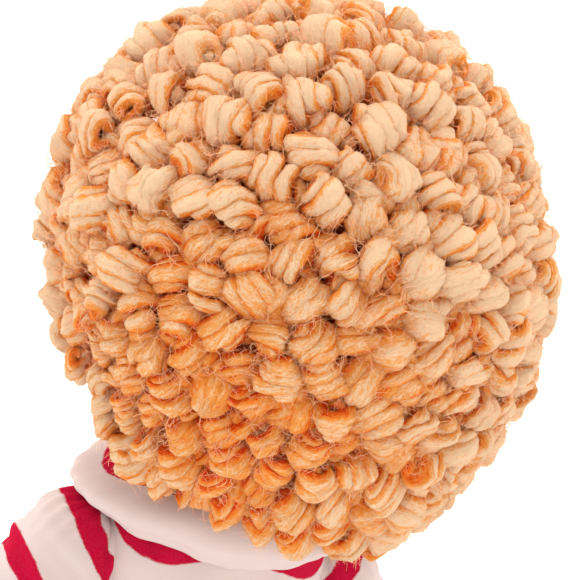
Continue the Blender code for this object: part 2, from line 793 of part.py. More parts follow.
def make_head(body):
    """The head's cotton skin, a bag that is open at the end of the neck, and the tied filling in it."""
    base = TORSO_TOP - NECK_DEPTH
    inner = NECK_RADIUS - SKIN_WALL
    rings = head_rings(-SKIN_WALL, math.pi)
    rings.append(neck_ring(TORSO_TOP, inner))
    rings.append(neck_ring(base, inner))
    crown = Vector((0, 0, HEAD_MIDDLE + HEAD_HALF_HEIGHT - SKIN_WALL))
    skin = place("head_skin", loft(rings, crown), "cotton_skin", body)
    thicken(skin, SKIN_WALL)

    deep = -(SKIN_WALL + 2 * SEAT_GAP)
    narrow = inner - 2 * SEAT_GAP
    core = head_rings(deep, math.pi)
    core.append(neck_ring(TORSO_TOP + CORE_TIE_DEPTH, narrow - CORE_TIE_DEPTH))
    core.append(neck_ring(TORSO_TOP - CORE_TIE_DEPTH, narrow))
    core.append(neck_ring(base + SEAT_GAP, narrow))
    tip = Vector((0, 0, HEAD_MIDDLE + HEAD_HALF_HEIGHT + deep))
    place("head_filling", loft(core, tip, "flat"), "filling", body)


def patch(name, turn, around, half_width, half_height, thickness, look, body):
    """A small domed patch sewn on the head: its back follows the head's surface."""
    rings = []
    for size, height in PATCH_SHARES:
        offset = SEAT_GAP + (thickness - SEAT_GAP) * height
        points = []
        for i in range(PATCH_SIDES):
            angle = math.tau * i / PATCH_SIDES
            down = half_height * size * math.sin(angle) / HEAD_HALF_HEIGHT
            aside = half_width * size * math.cos(angle) / (HEAD_HALF_WIDTH * math.sin(turn))
            points.append(head_point(turn + down, around + aside, offset))
        rings.append(points)
    back = head_point(turn, around, SEAT_GAP)
    front = head_point(turn, around, SEAT_GAP + thickness)
    place(name, loft(rings, back, front), look, body)


def make_face(body):
    around = math.asin(EYE_SPACING / 2 / HEAD_HALF_WIDTH)
    for side_name, side in SIDES.items():
        patch(
            "eye_" + side_name, EYE_TURN, side * around, EYE_HALF_WIDTH, EYE_HALF_HEIGHT, EYE_THICKNESS,
            "eye_thread", body,
        )
    patch("nose", NOSE_TURN, 0, NOSE_RADIUS, NOSE_RADIUS, NOSE_HEIGHT, "cotton_skin", body)
    make_mouth(body)


def make_mouth(body):
    """The mouth is one line of thread, sewn in a shallow curve."""
    data = bpy.data.curves.new("mouth", "CURVE")
    data.dimensions = "3D"
    data.bevel_depth = MOUTH_THREAD
    data.bevel_resolution = 1
    data.use_fill_caps = True
    spline = data.splines.new("POLY")
    spline.points.add(MOUTH_STEPS)
    half = MOUTH_WIDTH / 2 / (HEAD_HALF_WIDTH * math.sin(MOUTH_TURN))
    for i, point in enumerate(spline.points):
        across = 2 * i / MOUTH_STEPS - 1
        turn = MOUTH_TURN - MOUTH_DROP / HEAD_HALF_HEIGHT * across**2
        where = head_point(turn, half * across, SEAT_GAP + MOUTH_LIFT_SHARE * MOUTH_THREAD)
        point.co = (*(where - Vector(body.location)), 1)
    data.materials.append(material("mouth_thread"))
    mouth = bpy.data.objects.new("mouth", data)
    bpy.context.scene.collection.objects.link(mouth)
    mouth.parent = body


# Hair


def hair_reach(direction):
    """Distance from the head's middle to the hair's outer shape, an ellipsoid that stands higher."""
    sizes = Vector(
        (
            HEAD_HALF_WIDTH + CAP_WALL + SEAT_GAP + HAIR_SIDE_DEPTH,
            HEAD_HALF_DEPTH + CAP_WALL + SEAT_GAP + HAIR_BACK_DEPTH,
            HEAD_HALF_HEIGHT + CAP_WALL + SEAT_GAP + HAIR_TOP_DEPTH,
        )
    )
    scaled = Vector([direction[i] / sizes[i] for i in range(3)])
    lift = HAIR_LIFT / sizes.z
    a = scaled.length_squared
    b = -2 * scaled.z * lift
    c = lift**2 - 1
    return (-b + math.sqrt(b * b - 4 * a * c)) / (2 * a)


def hair_point(turn, around, share):
    """A point in the hair: share 0 lies on the wig cap, share 1 on the hair's outer shape."""
    direction = Vector(
        (math.sin(turn) * math.sin(around), -math.sin(turn) * math.cos(around), math.cos(turn))
    )
    middle = Vector((0, 0, HEAD_MIDDLE))
    low = head_point(turn, around, SEAT_GAP + CAP_WALL + 2 * SEAT_GAP)
    down = min(max((turn - HANG_START) / (last_hair_turn() - HANG_START), 0), 1)
    high = middle + direction * hair_reach(direction) - Vector((0, 0, HAIR_HANG * down * down))
    return low.lerp(high, share)


def last_hair_turn():
    """The angle from the crown where the hair ends at the nape, clear of the collar."""
    room = COLLAR_RADIUS + COLLAR_HALF_WIDTH + HAIR_COLLAR_GAP
    reach = HEAD_HALF_WIDTH + CAP_WALL + SEAT_GAP
    return math.pi - math.asin(min(room / reach, 1))


def face_oval(turn):
    """Half the angle, round from the face, of the oval that the hair leaves open, at an angle from the crown."""
    along = (turn - FACE_TURN) / FACE_HALF_HEIGHT
    if abs(along) >= 1:
        return 0
    return FACE_HALF_WIDTH * math.sqrt(1 - along * along) / max(math.sin(turn), math.sin(FACE_HALF_WIDTH))


def face_opening(turn):
    """The same with the slanting edge beside the neck, where the hair ends further back."""
    above = JAW_DROP + HEAD_HALF_HEIGHT * math.cos(turn)
    share = above / (JAW_SLOPE_SHARE * HEAD_HALF_DEPTH * math.sin(turn))
    return max(face_oval(turn), math.acos(min(max(share, -1), 1)))


def make_cap(body):
    """The knitted wig cap that the curls are sewn to. Its edge follows the hairline."""
    rings = head_rings(SEAT_GAP, last_hair_turn())
    crown = Vector((0, 0, HEAD_MIDDLE + HEAD_HALF_HEIGHT + SEAT_GAP))
    cap = place("wig_cap", loft(rings, crown), "cap_knit", body)
    thicken(cap, CAP_WALL)
    boolean(cap, face_room())
    boolean(cap, jaw_room())


def face_room():
    """A cone from the head's middle out through the hairline round the face."""
    outline = []
    for i in range(HAIRLINE_POINTS):
        angle = math.tau * i / HAIRLINE_POINTS
        turn = FACE_TURN - (FACE_HALF_HEIGHT - HAIRLINE_MARGIN) * math.cos(angle)
        around = math.copysign(face_oval(turn), math.sin(angle))
        if i in (0, HAIRLINE_POINTS // 2):
            around = 0
        outline.append(head_point(turn, around, CAP_WALL + CUT_OVERRUN))
    front = head_point(FACE_TURN, 0, HEAD_HALF_DEPTH)
    return helper("face_room", loft([outline], Vector((0, 0, HEAD_MIDDLE)), front))


def jaw_room():
    """A slab below the hair's edge beside the neck."""
    half = HEAD_HALF_WIDTH + CUT_OVERRUN
    outline = ((-half, -half), (half, -half), (half, half), (-half, half))
    edge = HEAD_MIDDLE - JAW_DROP - JAW_MARGIN
    top = [Vector((x, y, edge - JAW_SLOPE_SHARE * y)) for x, y in outline]
    base = [Vector((x, y, edge - HEAD_HALF_HEIGHT)) for x, y in outline]
    return helper("jaw_room", loft([base, top], "flat", "flat"))


def row_arch(share_along):
    """How high the hair stands along a row: 1 in the middle of a curl, less between two curls."""
    wave = abs(math.sin(math.pi * share_along))
    return 1 - CURL_DIP_SHARE + CURL_DIP_SHARE * wave


def make_hair_row(index, turn, half, body):
    """One sewn row of curls. It runs right round the head, or from one side of the face to the other."""
    opening = face_opening(turn)
    closed = opening == 0
    arc = math.tau - 2 * opening
    radius = (HEAD_HALF_WIDTH + HAIR_SIDE_DEPTH) * math.sin(turn)
    curls = max(3, round(radius * arc / CURL_WIDTH))
    steps = curls * CURL_STEPS
    shift = math.pi / curls if closed and index % 2 else 0
    rings = []
    for i in range(steps + (0 if closed else 1)):
        along = i / CURL_STEPS
        around = opening + arc * i / steps + shift
        lift = row_arch(along)
        rings.append([hair_point(turn + half * across, around, height * lift) for across, height in arch_points()])
    mesh = loft(rings, None if closed else "flat", None if closed else "flat", loop=closed)
    place("hair_row_%02d" % index, mesh, "hair_yarn", body)


def arch_points():
    """A row's outline across its width: flat on the cap, arched outside."""
    return [(-1, 0), *CURL_ARCH_SHARES, (1, 0)]


def make_crown_tuft(half, body):
    """The last curls, gathered at the crown."""
    rings = []
    for size, height in TUFT_SHARES:
        points = []
        for j in range(TUFT_SIDES):
            lift = 1 - CURL_DIP_SHARE * (j % 2) / 2
            points.append(hair_point(half * size, math.tau * j / TUFT_SIDES, height * lift))
        rings.append(points)
    mesh = loft(rings, hair_point(0, 0, 0), hair_point(0, 0, 1))
    place("hair_crown", mesh, "hair_yarn", body)


def make_hair(body):
    """Rows of curls from the nape to the crown, each a strip sewn to the cap."""
    pitch = last_hair_turn() / (ROW_COUNT + 0.5)
    gap = ROW_GAP / HEAD_HALF_HEIGHT
    make_crown_tuft((pitch - gap) / 2, body)
    for index in range(1, ROW_COUNT + 1):
        make_hair_row(index, index * pitch, (pitch - gap) / 2, body)


def main():
    clear_scene()
    torso = pivot_at("pivot_torso", (0, 0, 0))
    head = pivot_at("pivot_head", (0, 0, TORSO_TOP))
    arm_rooms = [arm_room(side_name) for side_name in SIDES]
    leg_rooms = [leg_room(side_name) for side_name in SIDES]
    make_torso(torso, arm_rooms + leg_rooms)
    make_trousers_seat(torso, leg_rooms)
    make_waistband(torso)
    make_top(torso, arm_rooms)
    make_collar(torso, arm_rooms)
    for side_name, side in SIDES.items():
        shoulder = pivot_at("pivot_shoulder_" + side_name, shoulder_of(side))
        hip = pivot_at("pivot_hip_" + side_name, hip_of(side))
        make_arm(side_name, shoulder)
        make_sleeve(side_name, shoulder)
        make_cuff(side_name, shoulder)
        make_leg(side_name, hip)
        make_trouser_leg(side_name, hip)
        make_turn_up(side_name, hip)
        make_shoe(side_name, hip)
        make_sole(side_name, hip)
    make_head(head)
    make_face(head)
    make_cap(head)
    make_hair(head)


main()
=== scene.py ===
"""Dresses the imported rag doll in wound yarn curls, cotton skin, striped jersey, twill and felt."""

import json
import math

import bmesh
import bpy
import numpy as np
from bpy.props import BoolProperty, FloatProperty, FloatVectorProperty, IntProperty, PointerProperty
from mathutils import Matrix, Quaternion, Vector
from mathutils.bvhtree import BVHTree


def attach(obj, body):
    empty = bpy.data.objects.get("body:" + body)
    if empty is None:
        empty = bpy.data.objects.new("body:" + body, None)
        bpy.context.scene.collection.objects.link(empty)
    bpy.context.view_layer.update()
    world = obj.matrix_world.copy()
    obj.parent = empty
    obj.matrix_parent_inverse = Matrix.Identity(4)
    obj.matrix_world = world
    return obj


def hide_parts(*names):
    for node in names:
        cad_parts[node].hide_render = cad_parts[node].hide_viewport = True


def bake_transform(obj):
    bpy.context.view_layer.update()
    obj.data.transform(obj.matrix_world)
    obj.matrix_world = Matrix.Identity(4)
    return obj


bl_info = {
    "name": "Rag doll looks",
    "version": (1, 0, 0),
    "blender": (4, 5, 0),
    "location": "3D View > Sidebar > Rag doll",
    "description": "Dresses the packed rag doll in yarn curls, cotton, jersey and felt",
    "category": "Object",
}

MM = 0.001

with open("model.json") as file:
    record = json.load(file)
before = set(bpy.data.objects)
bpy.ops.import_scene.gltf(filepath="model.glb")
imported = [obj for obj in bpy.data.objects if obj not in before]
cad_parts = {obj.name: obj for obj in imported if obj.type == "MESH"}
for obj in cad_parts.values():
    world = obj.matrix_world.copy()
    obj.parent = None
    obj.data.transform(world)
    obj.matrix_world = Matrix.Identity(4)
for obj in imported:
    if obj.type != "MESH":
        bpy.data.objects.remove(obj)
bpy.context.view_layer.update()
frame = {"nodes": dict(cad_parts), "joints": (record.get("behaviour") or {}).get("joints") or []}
PIVOTS = {joint["name"]: Vector(joint["pos_m"]) for joint in frame["joints"]}

SIDES = {"left": 1, "right": -1}
ARM_SPLAY = math.radians(28)
LEG_SPLAY = math.radians(8)
SEAT_BASE = 1.8 * MM
TORSO_HEIGHT = 112 * MM
TORSO_HALF_WIDTH = 40 * MM
TORSO_HALF_DEPTH = 31 * MM
TORSO_SHARES = (  # height, half width, half depth
    (0.00, 0.86, 0.82),
    (0.03, 0.94, 0.93),
    (0.12, 1.00, 1.00),
    (0.30, 0.99, 1.00),
    (0.48, 0.93, 0.95),
    (0.66, 0.86, 0.88),
    (0.80, 0.80, 0.82),
    (0.90, 0.745, 0.76),
    (0.96, 0.68, 0.68),
    (1.00, 0.585, 0.60),
)
NECK_TOP = 113.8 * MM
NECK_BASE = 91.8 * MM
NECK_RADIUS = 15 * MM
HEAD_MIDDLE = Vector((0, 0, 178.847 * MM))
HEAD_SIZES = Vector((51 * MM, 49 * MM, 54 * MM))
CHEEK_SWELL = 0.11
CHEEK_TURN = math.radians(128)
CHEEK_SPAN = math.radians(34)
CHEEK_BACK = 0.7
HAIR_MIDDLE = Vector((0, 0, 183.347 * MM))
HAIR_SIZES = Vector((64.3 * MM, 62.3 * MM, 67.3 * MM))
LAST_HAIR_TURN = math.radians(140.2)
HANG_START = math.radians(95)
HAIR_HANG = 7 * MM
FACE_TURN = math.radians(105)
FACE_HALF = math.radians(56)
JAW_DROP = 37.3 * MM
JAW_SLOPE = 0.33
HAIR_ROWS = 10
HAIR_RADIUS = 60 * MM
HAIR_DEPTH = 12 * MM
WHORL = np.array((0.792, 0.028, 0.612))
WHORL /= np.linalg.norm(WHORL)
CURL_TAIL = 0.4  # turns of yarn that lead down at each end of a curl
CURL_TIP = math.radians(74)
STEPS_A_TURN = 16
YARN_SIDES = 12
PAINTED_SHADE_SIDE = np.array((0.41, 0.84, -0.35))  # where the yarn's colour has the most painted shade, darkest and deepest orange, low on the back of the head; the top and sides are painted paler, as painted light
# Where the yarn has come unspun and felted into soft tufts, as some other curls have
FELTED_TUFTS = ((0.07, 0.75, 0.66), (-0.11, 0.91, 0.39), (0.05, 1.0, 0.03))
TUFT_REACH = math.radians(7.5)
FELTED_SHARE = 0.08
HAIR_SWELLS = (  # direction from the head's middle, rise in mm, width in degrees
    (0.70, -0.56, 0.43, 5.5, 38),
    (0.30, -0.40, 0.86, 3.0, 36),
    (-0.44, -0.05, 0.90, 2.5, 34),
    (0.72, -0.12, -0.68, -15.0, 30),
    (-0.72, 0.56, -0.41, 3.0, 34),
    (-0.50, 0.55, -0.67, 2.0, 26),
)
EYE_AROUND = math.asin(17 / 51)
HEM_ROLL = 3
JERSEY_WALL = 1.3 * MM
YOKE = (  # height, half width, half depth
    (96 * MM, 32.6 * MM, 26.2 * MM),
    (103 * MM, 32.0 * MM, 25.4 * MM),
    (108.5 * MM, 31.6 * MM, 24.6 * MM),
    (112.5 * MM, 30.4 * MM, 23.8 * MM),
    (115.0 * MM, 28.4 * MM, 22.8 * MM),
    (116.4 * MM, 25.8 * MM, 21.8 * MM),
    (117.0 * MM, 22.6 * MM, 20.6 * MM),
)
SLEEVE_SHARES = ((0.0, 1.0), (16, 1.0), (36, 0.94), (56, 0.85), (67, 0.77))  # reach in mm, share of radius
UPRIGHT = np.array(((0.0, 0, 1), (1, 0, 0), (0, 1, 0)))
STUDIO_LIGHTS = (  # name, where it stands, strength
    ("top_light", (0.1, -0.3, 0.95), 1.95),
    ("left_light", (0.6, -1.0, 0.45), 0.75),
    ("right_light", (-1.15, -0.1, 0.45), 0.8),
)


# Colours and materials


def linear(code):
    """Turns an sRGB hex colour into the linear one that Blender works in."""
    parts = [int(code[i : i + 2], 16) / 255 for i in (0, 2, 4)]
    return tuple(part / 12.92 if part <= 0.04045 else ((part + 0.055) / 1.055) ** 2.4 for part in parts)


def add_node(tree, kind, inputs=(), stops=(), **settings):
    """Adds a node with its settings, ramp stops and inputs (values or links), and gives its outputs."""
    node = tree.nodes.new("ShaderNode" + kind)
    for key, value in settings.items():
        setattr(node, key, value)
    for key, value in (inputs if isinstance(inputs, dict) else dict(enumerate(inputs))).items():
        socket = node.inputs[key]
        if isinstance(value, bpy.types.NodeSocket):
            tree.links.new(value, socket)
        else:
            socket.default_value = (*value, 1) if socket.type == "RGBA" else value
    for i, (place, colour) in enumerate(stops):
        elements = node.color_ramp.elements
        element = elements[i] if i < 2 else elements.new(place)
        element.position = place
        element.color = (*colour, 1)
    return node.outputs


class Look:
    """A new Principled material with uniform values on the shader's own sockets. Sizes are in metres."""

    def __init__(self, name, **values):
        self.material = bpy.data.materials.new(name)
        self.material.use_nodes = True
        self.tree = self.material.node_tree
        self.surface = self.tree.nodes["Principled BSDF"]
        for key, value in values.items():
            self.surface.inputs[key.replace("_", " ")].default_value = value

    def place(self):
        return add_node(self.tree, "TexCoord")["Object"]

    def attribute(self, name, output="Vector"):
        return add_node(self.tree, "Attribute", attribute_name=name)[output]

    def split(self, vector):
        return add_node(self.tree, "SeparateXYZ", (vector,))[:3]

    def math(self, operation, *inputs, clamp=False):
        return add_node(self.tree, "Math", inputs, operation=operation, use_clamp=clamp)[0]

    def line(self, value, slope, offset):
        return self.math("MULTIPLY_ADD", value, slope, offset)

    def vector(self, operation, *inputs):
        return add_node(self.tree, "VectorMath", inputs, operation=operation)[0]

    def noise(self, vector, size, detail, roughness=0.5, distortion=0.0, output=0):
        values = {"Scale": 1 / size, "Detail": detail, "Roughness": roughness, "Distortion": distortion}
        return add_node(self.tree, "TexNoise", {"Vector": vector, **values})[output]

    def ramp(self, level, *stops):
        return add_node(self.tree, "ValToRGB", (level,), stops)[0]

    def mix(self, share, one, two):
        return add_node(self.tree, "Mix", {0: share, 6: one, 7: two}, data_type="RGBA")[2]

    def finish(self, colour, height=None, strength=0.0, depth=0.0):
        """Links the colour and the fine relief, and gives the material."""
        self.tree.links.new(colour, self.surface.inputs["Base Color"])
        if height is not None:
            bump = add_node(self.tree, "Bump", {"Strength": strength, "Distance": depth, "Height": height})[0]
            self.tree.links.new(bump, self.surface.inputs["Normal"])
        return self.material


def roving_yarn():
    """Wool-like acrylic roving, loosely spun and wound in curls.

    To the eye it is matt and soft. Its colour carries painted light, pale where the yarn lies out at the
    hair's surface and on the top, and painted shade, a strong orange deeper in, between two windings and low
    on the back of the head.
    It is streaked all over by wisps of fibres.
    """
    look = Look(
        "acrylic_roving_wound",
        Roughness=0.92,
        Sheen_Weight=0.05,
        Sheen_Roughness=0.5,
        Sheen_Tint=(*linear("FFA058"), 1),
        Specular_IOR_Level=0.05,
    )
    strand = look.attribute("strand")
    height, painted_groove_shade, tone_and_painted_shade = look.split(look.attribute("yarn_painted_shade"))
    # The fibres don't lie quite straight: they wander by about 0.5 mm in each 1.5 mm
    astray = look.noise(look.vector("MULTIPLY", strand, (1 / (1.5 * MM),) * 3), 1, 1, output=1)
    astray = look.vector("SUBTRACT", astray, (0.5, 0.5, 0.5))
    wandering = look.vector("MULTIPLY_ADD", astray, (0.9 * MM,) * 3, strand)
    # Fibres are about 0.03 mm thick, too fine to show, so wisps of 0.3 mm are drawn, 1 mm long
    drawn = look.vector("MULTIPLY", wandering, (1 / (1.7 * MM), 1 / (0.5 * MM), 1 / (0.5 * MM)))
    wisps = look.noise(drawn, 1, 4, 0.7)
    # Tufts where the spinning is looser, about 2 mm wide
    tufts = look.noise(look.vector("MULTIPLY", strand, (1 / (5 * MM), 1 / (2 * MM), 1 / (2 * MM))), 1, 2)
    # A haze of stray fibres over the yarn, matted at about 0.4 mm
    haze = look.noise(look.place(), 0.8 * MM, 5, 0.8, 2)
    # The colour level carries painted shade, lower and more orange deeper in the hair, in the creases and
    # toward the low back of the head, and painted light, higher and paler at the hair's surface and on the
    # top.
    level = look.line(tone_and_painted_shade, 0.045, height)
    for value, share in ((wisps, 1.6), (haze, 1.2), (tufts, 0.35), (painted_groove_shade, -0.5)):
        level = look.line(value, share, level)
    level = look.math("SUBTRACT", level, 1.45, clamp=True)
    # Ramp from the deepest painted shade, a rust orange, to the painted light, a pale peach.
    colour = look.ramp(
        level,
        (0.0, linear("EE4C12")),
        (1.0, linear("FFD8B0")),
        (0.25, linear("FF7E28")),
        (0.45, linear("FF973C")),
        (0.65, linear("FFA852")),
        (0.82, linear("FFBA78")),
    )
    return look.finish(colour, look.line(haze, 0.9, look.line(tufts, 0.8, wisps)), 1.0, 0.75 * MM)


def loose_fibre():
    """Single acrylic fibres that have worked loose, thin and matt: pale as painted light, rust as painted
    shade deep in.
    """
    look = Look("acrylic_fibre_loose", Roughness=0.75, Specular_IOR_Level=0.15)
    height = look.split(look.attribute("yarn_painted_shade"))[0]
    # Painted shade: rust where the fibre lies deep among the curls, pale where it lies out at the surface.
    stops = ((0.0, "B8543E"), (1.0, "FFD6B0"), (0.45, "EE9468"), (0.8, "FCC090"))
    return look.finish(look.ramp(height, *((place, linear(code)) for place, code in stops)))


def wig_backing():
    """Fine tricot backing, dyed to match the yarn. Between the curls it is a warm rust."""
    look = Look("tricot_backing_dyed", Roughness=0.95, Sheen_Weight=0.1)
    # Tricot has about 1 mm between its stitches
    values = {"Vector": look.place(), "Scale": 1 / (1.0 * MM)}
    stitches = add_node(look.tree, "TexVoronoi", values, feature="DISTANCE_TO_EDGE")[0]
    colour = look.ramp(stitches, (0.0, linear("D4501A")), (1.0, linear("F8A058")), (0.35, linear("EC7A2C")))
    return look.finish(colour, stitches, 0.5, 0.3 * MM)


def skin_cotton(skin):
    """Plain woven cotton, sewn and stuffed. Its threads are too fine to see singly and give a matt grain."""
    look = Look(
        "cotton_plain_woven",
        Roughness=0.85,
        Sheen_Weight=0.15,
        Sheen_Roughness=0.5,
        Subsurface_Weight=0.12,
        Subsurface_Radius=(1.0, 0.5, 0.35),
        Subsurface_Scale=2 * MM,
        Specular_IOR_Level=0.3,
    )
    # Threads are 0.3 mm apart, drawn 0.7 mm apart so that they show
    threads = look.vector("MULTIPLY", look.attribute("cloth"), (math.pi / (0.7 * MM),) * 3)
    across, along = look.split(look.vector("SINE", threads))[:2]
    weave = look.math("MULTIPLY", across, along)
    mottle = look.noise(look.place(), 14 * MM, 5, 0.6)
    colour = look.ramp(mottle, (0.3, linear("DDBBAA")), (0.75, linear("F0D6C9")), (0.5, tuple(skin)))
    colour = look.mix(look.attribute("blush", "Fac"), colour, linear("E58E80"))
    colour = look.mix(look.line(weave, 0.1, 0.1), colour, linear("C99F8C"))
    return look.finish(colour, weave, 0.25, 0.15 * MM)


def striped_jersey(clothes, name="cotton_jersey_striped", plain=False):
    """Cotton jersey, knitted in cream with red stripes and brushed.

    Its columns of small V stitches show only up close, the brushed face is soft and dull, and a stripe's
    edge is a little uneven because it follows the stitches.
    """
    look = Look(
        name,
        Roughness=0.92,
        Sheen_Weight=0.01,
        Sheen_Roughness=0.5,
        Subsurface_Weight=0.06,
        Subsurface_Radius=(1.0, 0.7, 0.6),
        Subsurface_Scale=1.5 * MM,
        Specular_IOR_Level=0.02,
    )
    cloth = look.attribute("cloth")
    across, along, cut = look.split(cloth)
    # A fine jersey's stitch is about 0.7 mm wide and 0.55 mm high
    column = look.math("FRACT", look.math("DIVIDE", across, 0.7 * MM))
    lean = look.math("ABSOLUTE", look.line(column, 2, -1))
    row = look.line(lean, 0.55, look.math("DIVIDE", along, 0.55 * MM))
    loops = look.math("SINE", look.math("MULTIPLY", row, math.tau))
    legs = look.math("SINE", look.math("MULTIPLY", column, math.tau * 2))
    stitch = look.line(legs, -0.65, loops)
    nap = look.noise(cloth, 0.5 * MM, 4, 0.7)
    worn = look.noise(cloth, 11 * MM, 4, 0.6)
    colour = look.mix(worn, linear("A00028"), tuple(clothes.red))
    if not plain:
        cream = look.mix(worn, linear("CDBDB9"), tuple(clothes.cream))
        uneven = look.line(worn, 1.8 * MM, look.math("ADD", along, cut))
        uneven = look.line(loops, 0.1 * MM, uneven)
        turn = look.math("FRACT", look.line(uneven, 1 / clothes.period, 0.5))
        away = look.math("ABSOLUTE", look.math("SUBTRACT", turn, 0.5))
        half = clothes.stripe / clothes.period / 2
        edge = 0.25 * MM / clothes.period
        ends = (away, half - edge, half + edge, 1.0, 0.0)
        stripe = add_node(look.tree, "MapRange", ends, interpolation_type="SMOOTHSTEP")[0]
        colour = look.mix(stripe, cream, colour)
    soft = look.line(nap, 0.16, -0.06)
    soft = look.math("MULTIPLY_ADD", stitch, 0.01, soft, clamp=True)
    colour = look.mix(soft, colour, look.mix(0.3, colour, linear("FFF4F0")))
    return look.finish(colour, look.line(nap, 1.5, stitch), 0.12, 0.15 * MM)


def trouser_twill(clothes):
    """Cotton twill, woven and washed. Fine slanting lines, a little paler where the cloth stands proud."""
    values = {"Roughness": 0.88, "Sheen_Weight": 0.15, "Sheen_Roughness": 0.5, "Specular_IOR_Level": 0.3}
    look = Look("cotton_twill_washed", **values)
    cloth = look.attribute("cloth")
    across, along = look.split(cloth)[:2]
    # Twill lines are 0.6 mm apart, drawn 1 mm apart so that they show
    slant = look.line(along, 1.4, across)
    ribs = look.math("SINE", look.math("MULTIPLY", slant, math.tau / (1.0 * MM)))
    worn = look.noise(cloth, 9 * MM, 6, 0.65)
    colour = look.ramp(worn, (0.25, linear("253450")), (0.8, linear("54698C")), (0.5, tuple(clothes.trousers)))
    colour = look.mix(look.line(ribs, 0.14, 0.14), colour, linear("8296B4"))
    return look.finish(colour, ribs, 0.3, 0.2 * MM)


def pressed_felt(name, dark, light):
    """Pressed wool felt, cut and sewn. Matt, with a matted nap of short fibres and no weave."""
    look = Look(name, Roughness=0.97, Sheen_Weight=0.4, Sheen_Roughness=0.6, Specular_IOR_Level=0.2)
    # Matted fibres lie in tangles of about 0.6 mm
    nap = look.noise(look.place(), 1.2 * MM, 8, 0.75, 1.5)
    return look.finish(look.ramp(nap, (0.3, linear(dark)), (0.7, linear(light))), nap, 0.6, 0.35 * MM)


def sewing_thread(name, colour, pale):
    """Mercerised cotton thread, twisted in two plies. Smooth, with a soft shine and a painted highlight along
    each ply.
    """
    look = Look(name, Roughness=0.5, Sheen_Weight=0.2, Specular_IOR_Level=0.45)
    # The plies turn about once in 0.7 mm
    values = {"Vector": look.place(), "Scale": 1 / (0.7 * MM) / math.tau, "Distortion": 0.6}
    plies = add_node(look.tree, "TexWave", values, bands_direction="DIAGONAL")[1]
    # Painted highlight: the colour is mixed toward its paler copy in bands along the plies.
    shade = look.mix(look.math("MULTIPLY", plies, 0.5), linear(colour), linear(pale))
    return look.finish(shade, plies, 0.3, 0.15 * MM)


def studio_paper(floor):
    """Matt paper roll, as a studio lays it under a product. Plain, with a hardly seen mottle."""
    look = Look("studio_paper_matt", Roughness=0.95, Specular_IOR_Level=0.1)
    shown = look.math("MULTIPLY", look.noise(look.place(), 25 * MM, 3), 0.15)
    return look.finish(look.mix(shown, tuple(floor), linear("FFFFFF")))


# Meshes


def new_piece(name, look, points, faces, corners=None, values=None):
    """A smooth mesh object from arrays. corners and values are attributes on face corners and on points."""
    points = np.asarray(points, float).reshape(-1, 3)
    if isinstance(faces[0], np.ndarray):
        counts = np.concatenate([np.full(len(group), group.shape[1]) for group in faces])
        flat = np.concatenate([group.ravel() for group in faces]).astype(np.int32)
    else:
        counts = np.array([len(face) for face in faces])
        flat = np.array([corner for face in faces for corner in face], np.int32)
    data = bpy.data.meshes.new(name)
    data.vertices.add(len(points))
    data.vertices.foreach_set("co", points.ravel())
    data.loops.add(len(flat))
    data.loops.foreach_set("vertex_index", flat)
    data.polygons.add(len(counts))
    data.polygons.foreach_set("loop_start", np.concatenate([[0], np.cumsum(counts)[:-1]]).astype(np.int32))
    data.polygons.foreach_set("loop_total", counts.astype(np.int32))
    data.update(calc_edges=True)
    data.validate()
    for domain, layers in (("CORNER", corners), ("POINT", values)):
        for key, made in (layers or {}).items():
            layer = data.attributes.new(key, "FLOAT_VECTOR", domain)
            layer.data.foreach_set("vector", np.asarray(made, float).ravel())
    data.shade_smooth()
    data.materials.append(look)
    return linked(name, data)


def linked(name, data):
    piece = bpy.data.objects.new(name, data)
    bpy.context.scene.collection.objects.link(piece)
    return piece


def stands_for(piece, body, slot, *nodes):
    """The piece takes the place of CAD nodes and rides on a body, or on none where no body is given."""
    if body:
        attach(piece, body)
    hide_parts(*nodes)


def unit(vectors):
    return vectors / np.linalg.norm(vectors, axis=-1)[..., None]


def bell(value, width):
    """1 at a value of 0, falling softly to 0 over about twice a width."""
    return np.exp(-((value / width) ** 2))


def ripple(points, size, seed, count=16):
    """A smooth random wave over points, about -1 to 1, with bumps of about half a size."""
    random = np.random.default_rng(seed)
    heading = unit(random.normal(size=(count, 3)))
    heading *= (math.tau / size * random.uniform(0.7, 1.4, count))[:, None]
    waves = np.sin(points.reshape(-1, 3) @ heading.T + random.uniform(0, math.tau, count))
    return (waves.sum(-1) * math.sqrt(2 / count) / 1.6).reshape(points.shape[:-1])


def smooth_step(value, low, high):
    share = np.clip((value - low) / (high - low), 0, 1)
    return share * share * (3 - 2 * share)


def round_angles(sides):
    return np.arange(sides) * math.tau / sides


def sheet_normals(rows):
    """Outward directions of a closed grid of rows, from its own neighbours."""
    around = np.roll(rows, -1, axis=1) - np.roll(rows, 1, axis=1)
    normal = np.cross(around, np.gradient(rows, axis=0))
    normal /= np.maximum(np.linalg.norm(normal, axis=2), 1e-9)[..., None]
    outward = rows - rows.mean(axis=1, keepdims=True)
    return -normal if (normal * outward).sum() < 0 else normal


def swell(rows, amount):
    return rows + sheet_normals(rows) * amount[..., None]


